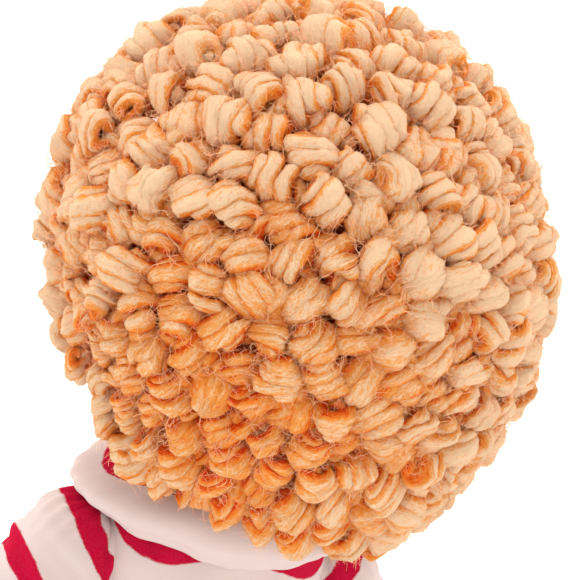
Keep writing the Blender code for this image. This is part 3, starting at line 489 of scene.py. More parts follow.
def weave_rows(name, look, rows, cloth, start=None, end=None, loop=False):
    """A piece from closed rows of points. Its cloth coordinates run round and along it, in metres.

    A third value shifts the stripes where the cloth was cut off the straight.
    """
    count, sides = rows.shape[:2]
    points = rows.reshape(-1, 3)
    faces, corners = [], []
    for i in range(count if loop else count - 1):
        k = (i + 1) % count
        for j in range(sides):
            n = (j + 1) % sides
            faces.append((i * sides + j, i * sides + n, k * sides + n, k * sides + j))
            corners.extend((cloth(i, j), cloth(i, j + 1), cloth(k, j + 1), cloth(k, j)))
    for pole, row in ((start, 0), (end, count - 1)):
        if pole is None:
            continue
        points = np.vstack([points, np.asarray(pole, float)[None]])
        for j in range(sides):
            places = (j + 1, j) if row == 0 else (j, j + 1)
            faces.append((*(row * sides + place % sides for place in places), len(points) - 1))
            corners.extend((cloth(row, places[0]), cloth(row, places[1]), cloth(row, j + 0.5)))
    corners = [(*place, 0)[:3] for place in corners]
    piece = new_piece(name, look, points, faces, corners={"cloth": corners})
    mesh = bmesh.new()
    mesh.from_mesh(piece.data)
    bmesh.ops.recalc_face_normals(mesh, faces=mesh.faces)
    mesh.to_mesh(piece.data)
    mesh.free()
    return piece


def straight_cloth(radius, sides, levels):
    """Cloth coordinates of a piece cut on the straight: round a radius, with a level for each row."""
    return lambda i, j: (radius * math.tau * j / sides, levels[i])


def hemmed(rows, wall, roll=HEM_ROLL):
    """Rows of a cloth's outer face carried round a soft edge at each end and back along its inner face."""
    normal = sheet_normals(rows)
    ends = []
    for row, step in ((-1, rows[-1] - rows[-2]), (0, rows[0] - rows[1])):
        step = step / np.maximum(np.linalg.norm(step, axis=1), 1e-9)[:, None]
        for i in range(1, roll + 1):
            turn = math.pi * i / (roll + 1)
            lift = normal[row] * (math.cos(turn) - 1) * wall / 2
            ends.append(rows[row] + lift + step * math.sin(turn) * wall / 2)
    return np.concatenate([rows, ends[:roll], (rows - normal * wall)[::-1], ends[roll:][::-1]])


def hemmed_end(rows, wall, roll=HEM_ROLL):
    """Rows of a cloth's outer face carried round a soft edge at its far end and back inside."""
    return hemmed(rows, wall, roll)[: 2 * len(rows) + roll]


def hemmed_levels(levels, roll=HEM_ROLL):
    """How far along the cloth each row of a hemmed piece lies, for its stripes."""
    return [*levels, *[levels[-1]] * roll, *levels[::-1], *[levels[0]] * roll]


def between(table, share):
    """The values of a table of shares at a place along it, on a smooth curve through its rows."""
    share = min(max(share, table[0][0]), table[-1][0])
    last = len(table) - 1
    index = next((i for i in range(last) if share <= table[i + 1][0]), last - 1)
    rows = [table[min(max(index + step, 0), last)] for step in (-1, 0, 1, 2)]
    span = rows[2][0] - rows[1][0]
    t = (share - rows[1][0]) / span
    values = []
    for before, start, end, after in zip(*(row[1:] for row in rows)):
        slope_start = (end - before) / (max(rows[1][0] - rows[0][0], span) + span) * span
        slope_end = (after - start) / (max(rows[3][0] - rows[2][0], span) + span) * span
        values.append(
            start * (2 * t**3 - 3 * t**2 + 1)
            + slope_start * (t**3 - 2 * t**2 + t)
            + end * (3 * t**2 - 2 * t**3)
            + slope_end * (t**3 - t**2)
        )
    return values


def torso_size(height):
    width, depth = between(TORSO_SHARES, (height - SEAT_BASE) / TORSO_HEIGHT)
    return width * TORSO_HALF_WIDTH, depth * TORSO_HALF_DEPTH


def oval_rows(heights, size, sides):
    """Rows of ovals at heights, from a function that gives each half width and half depth."""
    angle = round_angles(sides)
    rows = []
    for height in heights:
        width, depth = size(height)
        rows.append(np.stack([width * np.cos(angle), depth * np.sin(angle), np.full(sides, height)], axis=1))
    return np.array(rows)


def limb_rows(start, axes, reaches, radii, angle):
    """Rings of points round a limb's axis."""
    along, across, thick = axes
    ring = across * np.cos(angle)[:, None] + thick * np.sin(angle)[:, None]
    return np.array(start) + along * reaches[:, None, None] + ring[None] * radii[:, None, None]


def arm_axes(side):
    """Along the arm, across its front and through its thickness."""
    sin, cos = math.sin(ARM_SPLAY), math.cos(ARM_SPLAY)
    return np.array((side * sin, 0, -cos)), np.array((0, -1.0, 0)), np.array((side * cos, 0, sin))


def leg_axis(side):
    return np.array((side * math.sin(LEG_SPLAY), -math.cos(LEG_SPLAY), 0))


def softened(node, name, look, levels=2, voxel=None, smooth=0):
    """A finer, rounder copy of a CAD solid's mesh, for a stuffed or sewn piece that stands for it."""
    data = frame["nodes"][node].data.copy()
    data.name = name
    mesh = bmesh.new()
    mesh.from_mesh(data)
    bmesh.ops.remove_doubles(mesh, verts=mesh.verts, dist=0.01 * MM)
    if voxel is None:
        turn = math.radians(60)
        bmesh.ops.join_triangles(mesh, faces=mesh.faces, angle_face_threshold=turn, angle_shape_threshold=turn)
    mesh.to_mesh(data)
    mesh.free()
    data.materials.clear()
    data.materials.append(look)
    piece = linked(name, data)
    if voxel:
        step = piece.modifiers.new("Remesh", "REMESH")
        step.mode = "VOXEL"
        step.voxel_size = voxel
    if smooth:
        step = piece.modifiers.new("Smooth", "SMOOTH")
        step.factor = 0.5
        step.iterations = smooth
    if levels:
        step = piece.modifiers.new("Round", "SUBSURF")
        step.levels = step.render_levels = levels
    graph = bpy.context.evaluated_depsgraph_get()
    made = piece.evaluated_get(graph)
    data = bpy.data.meshes.new_from_object(made, preserve_all_data_layers=True, depsgraph=graph)
    piece.modifiers.clear()
    piece.data = data
    data.shade_smooth()
    return piece


def read(collection, key, width=1, kind=float):
    """One property of all the points, corners or faces of a mesh, as an array."""
    values = np.zeros(len(collection) * width, kind)
    collection.foreach_get(key, values)
    return values.reshape(-1, 3) if width == 3 else values


def points_of(piece):
    return read(piece.data.vertices, "co", 3)


def normals_of(piece):
    return read(piece.data.vertex_normals, "vector", 3)


def swell_piece(piece, amount):
    """Moves a piece's points outward along their normals."""
    points = points_of(piece) + normals_of(piece) * amount[:, None]
    piece.data.vertices.foreach_set("co", points.ravel())
    piece.data.update()


def wrap_cloth(piece, start, along, radius):
    """Cloth coordinates for a limb's cloth: round its axis and along it, in metres, without a jump."""
    along = np.array(along, float)
    side = np.cross(along, (0, 1, 0) if abs(along[1]) < 0.9 else (1, 0, 0))
    side /= np.linalg.norm(side)
    away = points_of(piece) - np.array(start, float)
    angle = np.arctan2(away @ np.cross(along, side), away @ side)
    owner = read(piece.data.loops, "vertex_index", kind=np.int32)
    starts = read(piece.data.polygons, "loop_start", kind=np.int32)
    turned = angle[owner]
    first = np.repeat(turned[starts], read(piece.data.polygons, "loop_total", kind=np.int32))
    turned = turned - np.round((turned - first) / math.tau) * math.tau
    values = np.stack([turned * radius, (away @ along)[owner], np.zeros(len(owner))], axis=1)
    layer = piece.data.attributes.get("cloth") or piece.data.attributes.new("cloth", "FLOAT_VECTOR", "CORNER")
    layer.data.foreach_set("vector", values.ravel())


def ring(centre, across, up, sides):
    """Points of an oval ring round a centre."""
    return [centre + across * math.cos(angle) + up * math.sin(angle) for angle in round_angles(sides)]


def capped_tube(base, rings, sides):
    """Faces of a tube of rings of points, with a flat cap at each end. Its first point has an index."""
    faces = []
    for low in range(base, base + (rings - 1) * sides, sides):
        for j in range(sides):
            n = (j + 1) % sides
            faces.append((low + j, low + n, low + sides + n, low + sides + j))
    faces.append(tuple(range(base + sides - 1, base - 1, -1)))
    faces.append(tuple(range(base + (rings - 1) * sides, base + rings * sides)))
    return faces


def stitches(name, look, path, outward, thread, gap_share=0.3, bury=0.35):
    """Sewn stitches along a path: each is one short thread, rounded at its ends, let into the cloth."""
    points, faces = [], []
    sides, rings = 6, 5
    for one, two, up in zip(path, path[1:], outward):
        one, two, up = Vector(one), Vector(two), Vector(up).normalized()
        span = two - one
        if span.length < thread:
            continue
        ahead = span.normalized()
        across = ahead.cross(up).normalized()
        up = across.cross(ahead)
        half = span.length * (1 - gap_share) / 2
        faces.extend(capped_tube(len(points), rings, sides))
        for i in range(rings):
            share = 2 * i / (rings - 1) - 1
            size = thread / 2 * math.sqrt(max(1 - (abs(share) * 0.92) ** 4, 0.02))
            sunk = up * (thread * (0.5 - bury) - thread * 0.5 * abs(share) ** 3)
            points.extend(ring((one + two) / 2 + ahead * half * share + sunk, across * size, up * size, sides))
    return new_piece(name, look, [tuple(point) for point in points], faces)


def laid_threads(name, look, paths, radius):
    """Threads laid along lines, each rounded, with its ends let into the cloth."""
    points, faces = [], []
    sides = 8
    for line, out in paths:
        faces.extend(capped_tube(len(points), len(line), sides))
        for i, point in enumerate(line):
            ahead = (line[min(i + 1, len(line) - 1)] - line[max(i - 1, 0)]).normalized()
            across = ahead.cross(out).normalized()
            up = across.cross(ahead)
            edge = abs(2 * i / (len(line) - 1) - 1)
            size = radius * (1 - 0.45 * edge**3)
            points.extend(ring(point - up * radius * 1.6 * edge**3, across * size * 1.1, up * size, sides))
    return new_piece(name, look, [tuple(point) for point in points], faces)


# Head and hair


def head_point(turn, around, offset=0.0):
    """A point off the head's surface: an angle down from the crown and one round from the face."""
    front = min(max(math.cos(around) + CHEEK_BACK, 0), 1)
    cheek = 1 + CHEEK_SWELL * front * math.exp(-(((turn - CHEEK_TURN) / CHEEK_SPAN) ** 2))
    return Vector(
        (
            (HEAD_SIZES.x * cheek + offset) * math.sin(turn) * math.sin(around),
            -(HEAD_SIZES.y * cheek + offset) * math.sin(turn) * math.cos(around),
            HEAD_MIDDLE.z + (HEAD_SIZES.z + offset) * math.cos(turn),
        )
    )


def head_outward(turn, around):
    return (head_point(turn, around, 1) - head_point(turn, around)).normalized()


def hair_reach(directions):
    """Distance from the head's middle to the hair's outer shape, for unit directions."""
    sizes = np.array(HAIR_SIZES)
    scaled = directions / sizes
    lift = (HAIR_MIDDLE.z - HEAD_MIDDLE.z) / sizes[2]
    a = (scaled**2).sum(-1)
    b = -2 * scaled[..., 2] * lift
    reach = (-b + np.sqrt(b * b - 4 * a * (lift**2 - 1))) / (2 * a)
    for x, y, z, rise, width in HAIR_SWELLS:
        away = 1 - (directions @ np.array((x, y, z))) / math.sqrt(x * x + y * y + z * z)
        reach = reach + rise * MM * np.exp(-away / (1 - math.cos(math.radians(width))))
    return reach


def in_hair(directions, margin):
    """True where the hair covers the head, kept inside its edge by an angle, and further at the left jaw."""
    turn = np.arccos(np.clip(directions[:, 2], -1, 1))
    around = np.abs(np.arctan2(directions[:, 0], -directions[:, 1]))
    reach = FACE_HALF + margin
    along = (turn - FACE_TURN) / reach
    half = reach * np.sqrt(np.clip(1 - along**2, 0, 1)) / np.maximum(np.sin(turn), math.sin(FACE_HALF))
    above = JAW_DROP + HEAD_SIZES.z * directions[:, 2] + JAW_SLOPE * HEAD_SIZES.y * directions[:, 1]
    shorn = 2 + 2.8 * np.clip(1.7 * directions[:, 0] - 1.7 * directions[:, 1] - 0.5, 0, 1)
    return (turn < LAST_HAIR_TURN - margin) & (around > half) & (above > shorn * margin * HEAD_SIZES.z)


def level_with(axes, places):
    """Axes laid along the head's surface at unit places."""
    return unit(axes - places * (axes * places).sum(1)[:, None])


def spread_curls(count, margin, long_gap, wide_gap, random, rounds=110):
    """Places for curls, evenly spread over the head, further apart along a curl than across it."""
    ball = unit(random.normal(size=(count * 6, 3)))
    places = ball[in_hair(ball, margin)][:count]
    axes = curl_axes(places, random)
    for step in range(rounds):
        away = places[:, None] - places[None]
        across = np.cross(places, axes)
        along_part = (away * axes[:, None]).sum(-1) / long_gap
        across_part = (away * across[:, None]).sum(-1) / wide_gap
        up_part = (away * places[:, None]).sum(-1) / wide_gap
        near = np.sqrt(along_part**2 + across_part**2 + up_part**2) + np.eye(len(places)) * 9
        push = np.clip(1 - near, 0, 1) / np.maximum(near, 0.05)
        trial = unit(places + (away * push[..., None]).sum(1) * 0.32 * (1 - 0.6 * step / rounds))
        places = np.where(in_hair(trial, margin)[:, None], trial, places)
        axes = level_with(axes, places)
    return places, axes


def curl_axes(places, random):
    """The way that each curl's coil runs: away from the whorl, as hair is combed, give or take a turn."""
    flow = places * (places @ WHORL)[:, None] - WHORL
    length = np.linalg.norm(flow, axis=1)
    flow[length < 0.05] = (0, 0, 1)
    flow = unit(flow)
    turn = random.normal(0, math.radians(24), len(places))
    turn += random.uniform(-math.pi, math.pi, len(places)) * bell(length, 0.35)
    axes = flow * np.cos(turn)[:, None] + unit(np.cross(places, flow)) * np.sin(turn)[:, None]
    return level_with(axes, places)


def wander(t, step, random):
    """A smooth random walk along t, about -1 to 1, that turns about once in each step."""
    place = (t - t[0]) / step
    knots = random.normal(0, 0.6, int(place[-1]) + 3)
    index = place.astype(int)
    share = smooth_step(place - index, 0, 1)
    return knots[index] * (1 - share) + knots[index + 1] * share


def wind_curl(random, turns, pitch, coil, yarn, reach, felted):
    """One curl: yarn wound in a short coil, its two ends led down to the scalp. x is along it, z outward.

    Gives the rings of points, where each lies along the strand, the painted shade in the crease between two
    windings, the painted shade on the yarn's face turned into the coil, and the way that the yarn runs.
    """
    count = int(STEPS_A_TURN * (turns + 2 * CURL_TAIL)) + 1
    t = np.linspace(-CURL_TAIL, turns + CURL_TAIL, count)
    inner = np.clip(t, 0, turns)
    over = np.abs(t - inner) / CURL_TAIL
    bend = (2 * inner / turns - 1) * CURL_TIP
    x = turns * pitch / (2 * CURL_TIP) * np.sin(bend) + (t - inner) * pitch * 0.2
    hand = 1 if random.random() < 0.75 else -1
    psi = random.uniform(0, math.tau) + math.tau * t * hand
    radius = coil * np.cos(bend) ** 0.8 * (1 + 0.17 * wander(t, 0.8, random))
    radius *= (1 - 0.5 * over**1.5) * (1 + 0.1 * np.cos(2 * psi + random.uniform(0, math.tau)))
    slant = hand * random.uniform(-0.05, 0.34)
    x = x + pitch * 0.22 * wander(t, 0.7, random) + slant * radius * np.sin(psi)
    bow = -(x**2) / (2 * reach) - yarn * 2.2 * over**1.4
    lean = coil * 0.26 * wander(t, 0.9, random)
    line = np.stack([x, radius * np.sin(psi) * 1.04 + lean, radius * 0.94 * np.cos(psi) + bow], axis=1)
    ahead = unit(np.gradient(line, axis=0))
    out = np.stack([np.zeros(count), np.sin(psi), np.cos(psi)], axis=1)
    out = unit(out - ahead * (out * ahead).sum(1)[:, None])
    side = np.cross(ahead, out)
    walked = np.concatenate([[0], np.cumsum(np.linalg.norm(np.diff(line, axis=0), axis=1))])[:, None]
    thick = 1 + 0.2 * wander(t, 0.6, random) + 0.12 * wander(t, 0.22, random) + 0.1 * np.cos(psi)
    thick = (yarn * thick * (1 - 0.45 * over))[:, None, None]
    theta = round_angles(YARN_SIDES)
    cos, sin = np.cos(theta), np.sin(theta)
    flat = 1.0 if felted else 0.9
    spoke = thick * (out[:, None] * flat * cos[None, :, None] + side[:, None] * 1.04 * sin[None, :, None])
    lumps = 0.075 * yarn * np.sin(walked / (0.8 * MM) + 3 * theta[None] + random.uniform(0, math.tau))
    lumps += 0.06 * yarn * np.sin(walked / (1.7 * MM) - 2 * theta[None] + random.uniform(0, math.tau))
    points = line[:, None] + spoke * (1 + lumps / yarn)[..., None]
    for wave in (13 * MM, 8 * MM):
        way = random.normal(0, math.tau / wave / 1.7, (3, 3))
        points = points + 0.055 * wave * np.sin(points @ way + random.uniform(0, math.tau, 3))
    turned = theta[None] + walked * random.uniform(60, 150)
    along = walked + np.zeros(YARN_SIDES)[None] + random.uniform(0, 3)
    strand = np.stack([along, yarn * np.cos(turned), yarn * np.sin(turned)], axis=2)
    # Painted shade: darker in the crease where one winding meets the next, less on felted curls, and on the
    # yarn's face turned into the coil.
    painted_groove_shade = smooth_step(np.abs(sin), 0.68, 1)[None] * (0.3 if felted else 1.0)
    inside = 1 - 0.3 * (1 - cos)[None]
    return points, strand, painted_groove_shade + np.zeros((count, 1)), inside + np.zeros((count, 1)), ahead


def hung(points):
    """Points of the hair let down at the nape, where the outer curls hang below their roots."""
    away = points - np.array(HEAD_MIDDLE)
    far = np.maximum(np.linalg.norm(away, axis=-1), 1e-6)
    headings = away / far[..., None]
    turn = np.arccos(np.clip(headings[..., 2], -1, 1))
    down = np.clip((turn - HANG_START) / (LAST_HAIR_TURN - HANG_START), 0, 1.15)
    share = np.clip((far - 53 * MM) / (hair_reach(headings) - 53 * MM), 0, 1.1)
    lowered = points.copy()
    lowered[..., 2] -= (HAIR_HANG - 2.5 * MM * headings[..., 0]) * down**2 * share
    return lowered


def ring_quads(count, sides):
    """Faces between the rings of an open tube."""
    i, j = np.meshgrid(np.arange(count - 1), np.arange(sides), indexing="ij")
    n = (j + 1) % sides
    corners = [i * sides + j, i * sides + n, (i + 1) * sides + n, (i + 1) * sides + j]
    return np.stack(corners, axis=2).reshape(-1, 4)


class YarnLot:
    """Curls gathered for one piece."""

    def __init__(self):
        self.points, self.strand, self.shade, self.quads, self.ends, self.size = [], [], [], [], [], 0

    def add(self, points, strand, shade):
        """Adds a tube of rings of points, closed by a tip at each end."""
        count, sides = points.shape[:2]
        for store, values in ((self.points, points), (self.strand, strand), (self.shade, shade)):
            store.extend((values.reshape(-1, 3), values[0].mean(0)[None], values[-1].mean(0)[None]))
        near = np.arange(sides)
        after = (near + 1) % sides
        far, tip = (count - 1) * sides, np.full(sides, count * sides)
        ends = [np.stack([near, tip, after], axis=1), np.stack([far + near, far + after, tip + 1], axis=1)]
        self.quads.append(ring_quads(count, sides) + self.size)
        self.ends.append(np.concatenate(ends) + self.size)
        self.size += count * sides + 2

    def piece(self, name, look):
        faces = [np.concatenate(self.quads), np.concatenate(self.ends)]
        values = {"strand": np.concatenate(self.strand), "yarn_painted_shade": np.concatenate(self.shade)}
        return new_piece(name, look, np.concatenate(self.points), faces, values=values)


def spin_fibres(paths, thick, height):
    """Fine fibres along paths, thinner to their ends: their points, faces and shades."""
    count, steps, sides = *paths.shape[:2], 3
    theta = round_angles(sides)[None, None, :, None]
    ahead = np.gradient(paths, axis=1)
    ahead /= np.maximum(np.linalg.norm(ahead, axis=2), 1e-9)[..., None]
    out = np.cross(ahead, np.array((0.31, 0.52, 0.79)))
    out /= np.maximum(np.linalg.norm(out, axis=2)[..., None], 1e-6)
    side = np.cross(ahead, out)
    size = thick[:, None] * (1 - 0.7 * np.linspace(-1, 1, steps) ** 4)[None]
    rings = out[:, :, None] * np.cos(theta) + side[:, :, None] * np.sin(theta)
    points = paths[:, :, None] + size[..., None, None] * rings
    base = (np.arange(count) * steps * sides)[:, None, None]
    far = (steps - 1) * sides
    tips = np.array([[[2, 1, 0], [far, far + 1, far + 2]]])
    faces = [(ring_quads(steps, sides)[None] + base).reshape(-1, 4), (tips + base).reshape(-1, 3)]
    shade = np.repeat(height, steps * sides)[:, None] * np.ones((1, 3))
    return points.reshape(-1, 3), faces, shade


def parts_of(count, most):
    """Indices in lots of about the same length, none longer than a limit."""
    return np.array_split(np.arange(count), max(1, -(-count // most)))


def cap_surface():
    """Where the wig's backing lies, to sew the curls on."""
    cap = frame["nodes"]["wig_cap"].data
    return BVHTree.FromPolygons([v.co for v in cap.vertices], [list(p.vertices) for p in cap.polygons])


def scalp_reach(tree, direction):
    start = HEAD_MIDDLE + Vector(direction) * 0.2
    found = tree.ray_cast(start, -Vector(direction))[0]
    return (found - HEAD_MIDDLE).length if found is not None else 54 * MM


# Settings


def whole_number(name, description, default, low, high=None):
    limits = {} if high is None else {"max": high}
    return IntProperty(name=name, description=description, default=default, min=low, **limits)


def metres(name, description, default, low, high):
    """A length in metres."""
    return FloatProperty(name=name, description=description, default=default, min=low, max=high, unit="LENGTH")


def degrees(name, description, default):
    """An angle in degrees, kept in radians as Blender does."""
    return FloatProperty(name=name, description=description, default=math.radians(default), subtype="ANGLE")


def tint(name, description, code):
    """A colour from its sRGB hex code."""
    values = {"size": 3, "subtype": "COLOR", "min": 0, "max": 1, "default": linear(code)}
    return FloatVectorProperty(name=name, description=description, **values)


class WigSettings(bpy.types.PropertyGroup):
    """Sizes of the wig of wound yarn curls."""

    curls: whole_number("Curls", "How many curls lie on the outside of the wig", 325, 50, 900)
    under_curls: whole_number("Under curls", "How many small curls fill the gaps below", 330, 0, 900)
    nap: whole_number("Nap", "How many short fibres stand off each curl", 420, 0, 800)
    fibres: whole_number("Loose fibres", "How many single fibres have worked loose", 12000, 0, 20000)
    yarn: metres("Yarn", "Half the thickness of the wound yarn", 1.9 * MM, 0.5 * MM, 6 * MM)
    coil: metres("Coil", "Radius that the yarn is wound at", 3.95 * MM, 1 * MM, 9 * MM)
    pitch: metres("Pitch", "From one winding of a curl to the next", 3.1 * MM, 1 * MM, 9 * MM)
    long_gap: metres("Gap along", "From one curl to the next, along the curls", 10.8 * MM, 4 * MM, 30 * MM)
    wide_gap: metres("Gap across", "From one curl to the next, across the curls", 11.5 * MM, 4 * MM, 30 * MM)
    seed: whole_number("Seed", "Another number gives another lay of the curls", 7, 0)


class DollSettings(bpy.types.PropertyGroup):
    """Colours of the doll's cotton skin and sewn face."""

    skin: tint("Skin", "Colour of the cotton", "DEC2B4")
    blush: FloatProperty(
        name="Blush",
        description="How strong the pink of the cheeks is",
        default=0.4,
        min=0,
        max=1,
        subtype="FACTOR",
    )


class ClothesSettings(bpy.types.PropertyGroup):
    """Sizes and colours of the clothes."""

    cream: tint("Cream", "Ground colour of the jersey", "C8B6B3")
    red: tint("Red", "Stripe colour of the jersey", "BE0036")
    trousers: tint("Trousers", "Colour of the trousers", "34476B")
    stripe: metres("Stripe", "Width of a stripe", 6.2 * MM, 1 * MM, 30 * MM)
    period: metres("Period", "From one stripe's middle to the next", 19.5 * MM, 2 * MM, 60 * MM)
    fold: metres("Folds", "How deep the soft folds are", 1.3 * MM, 0, 5 * MM)


class StageSettings(bpy.types.PropertyGroup):
    """The camera, the floor and the studio's light."""

    distance: metres("Distance", "From the camera to the head", 600 * MM, 200 * MM, 5000 * MM)
    azimuth: degrees("Azimuth", "Where the camera stands round the doll", 154)
    elevation: degrees("Elevation", "How far the camera looks down", 17)
    roll: degrees("Roll", "How far the doll leans in the picture", 18)
    across: metres("Picture", "Width of the picture at the head", 145 * MM, 20 * MM, 2000 * MM)
    light: FloatProperty(name="Light", description="Share of the light as built", default=1, min=0, max=10)
    floor: tint("Floor", "Colour of the floor", "F7F6F5")
    show_floor: BoolProperty(name="Show the floor", description="Lay the floor under the doll", default=True)


# Operators


class DOLL_OT_head(bpy.types.Operator):
    """Makes the head's cotton bag with its side seams and neck"""

    bl_idname = "doll.head"
    bl_label = "Head"

    def execute(self, context):
        doll = context.scene.doll
        look = skin_cotton(doll.skin)
        sides, count, neck_count = 120, 84, 14
        end = math.pi - math.asin((NECK_RADIUS + 0.5 * MM) / HEAD_SIZES.y)
        turns = [end * (i + 0.6) / count for i in range(count)]
        angle = round_angles(sides)
        rows = [[head_point(turn, around) for around in angle] for turn in turns]
        tie = NECK_RADIUS - 0.3 * MM
        neck = [
            np.stack([tie * np.sin(angle), -tie * np.cos(angle), np.full(sides, height)], axis=1)
            for height in np.linspace(NECK_TOP, NECK_BASE, neck_count)
        ]
        rows = np.concatenate([rows, neck])
        turn_of = np.concatenate([turns, np.full(neck_count, end)])
        from_seam = np.abs(np.abs(angle - math.pi) - math.radians(82))
        pucker = np.sin(turn_of * 70)[:, None] * bell(from_seam, 0.12)
        amount = (-0.7 * bell(from_seam, 0.03)[None] + 0.12 * pucker + 0.28 * ripple(rows, 26 * MM, 3)) * MM
        tied = np.sin(angle * 16)[None] * bell(turn_of - end + 0.08, 0.16)[:, None]
        rows = swell(rows, amount * smooth_step(turn_of, end, end - 0.35)[:, None] + 0.35 * MM * tied)
        cloth = straight_cloth(50 * MM, sides, 50 * MM * turn_of)
        piece = weave_rows("head_bag", look, rows, cloth, start=head_point(0, 0), end=(0, 0, NECK_BASE))
        cheeks = np.zeros(len(piece.data.vertices))
        for side in SIDES.values():
            middle = np.array(head_point(math.radians(112), side * math.radians(33)))
            cheeks += bell(np.linalg.norm(points_of(piece) - middle, axis=1), 8.5 * MM)
        blush = piece.data.attributes.new("blush", "FLOAT", "POINT")
        blush.data.foreach_set("value", (cheeks * doll.blush).astype(np.float32))
        stands_for(piece, "head", "cotton_skin", "head_skin", "head_filling")
        return {"FINISHED"}


class DOLL_OT_face(bpy.types.Operator):
    """Sews a plain face: satin-stitched eyes, a small stuffed nose and a backstitched mouth"""

    bl_idname = "doll.face"
    bl_label = "Face"

    def execute(self, context):
        brown = sewing_thread("cotton_thread_brown", "1F1512", "4A3730")
        for side_name, side in SIDES.items():
            self.sew_eye(side_name, side * EYE_AROUND, brown)
        self.sew_mouth(sewing_thread("cotton_thread_red", "A3272B", "CF5A58"))
        self.sew_nose(bpy.data.materials["cotton_plain_woven"])
        return {"FINISHED"}

    def sew_eye(self, side_name, around, look):
        """Satin stitch: threads laid side by side across an oval."""
        turn, count = math.radians(97), 13
        paths = []
        for i in range(count):
            place = 2 * (i + 0.5) / count - 1
            half = 4.4 * MM * math.sqrt(max(1 - place**2, 0.05)) / HEAD_SIZES.z
            beside = around + 3.4 * MM * place / (HEAD_SIZES.x * math.sin(turn))
            line = []
            for share in np.linspace(-1, 1, 7):
                rise = 0.55 * MM * (1 - share**2) * math.sqrt(1 - place**2)
                line.append(head_point(turn + half * share, beside, 0.35 * MM + rise))
            paths.append((line, head_outward(turn, beside)))
        piece = laid_threads("eye_stitches_" + side_name, look, paths, 0.34 * MM)
        stands_for(piece, "head", "eye_thread", "eye_" + side_name)

    def sew_mouth(self, look):
        """Backstitch in a shallow curve."""
        turn = math.radians(121)
        half = 10 * MM / (HEAD_SIZES.x * math.sin(turn))
        places = [(turn - 4 * MM / HEAD_SIZES.z * share**2, half * share) for share in np.linspace(-1, 1, 9)]
        path = [head_point(*place, 0.25 * MM) for place in places]
        outward = [head_outward(*place) for place in places]
        piece = stitches("mouth_stitches", look, path, outward, 1.5 * MM, gap_share=0.06, bury=0.2)
        stands_for(piece, "head", "mouth_thread", "mouth")

    def sew_nose(self, look):
        turn, sides, count = math.radians(108), 28, 9
        rows = []
        for i in range(count):
            lean = math.pi / 2 * i / (count + 0.5)
            row = []
            for angle in round_angles(sides):
                down = 3.7 * MM * math.cos(lean) * math.sin(angle) / HEAD_SIZES.z
                aside = 3.5 * MM * math.cos(lean) * math.cos(angle) / (HEAD_SIZES.x * math.sin(turn))
                row.append(head_point(turn + down, aside, 2.5 * MM * math.sin(lean) - 0.2 * MM))
            rows.append(row)
        cloth = straight_cloth(3.5 * MM, sides, 0.5 * MM * np.arange(count))
        ends = {"start": head_point(turn, 0, -0.6 * MM), "end": head_point(turn, 0, 2.35 * MM)}
        piece = weave_rows("nose_pad", look, np.array(rows), cloth, **ends)
        stands_for(piece, "head", "cotton_skin", "nose")


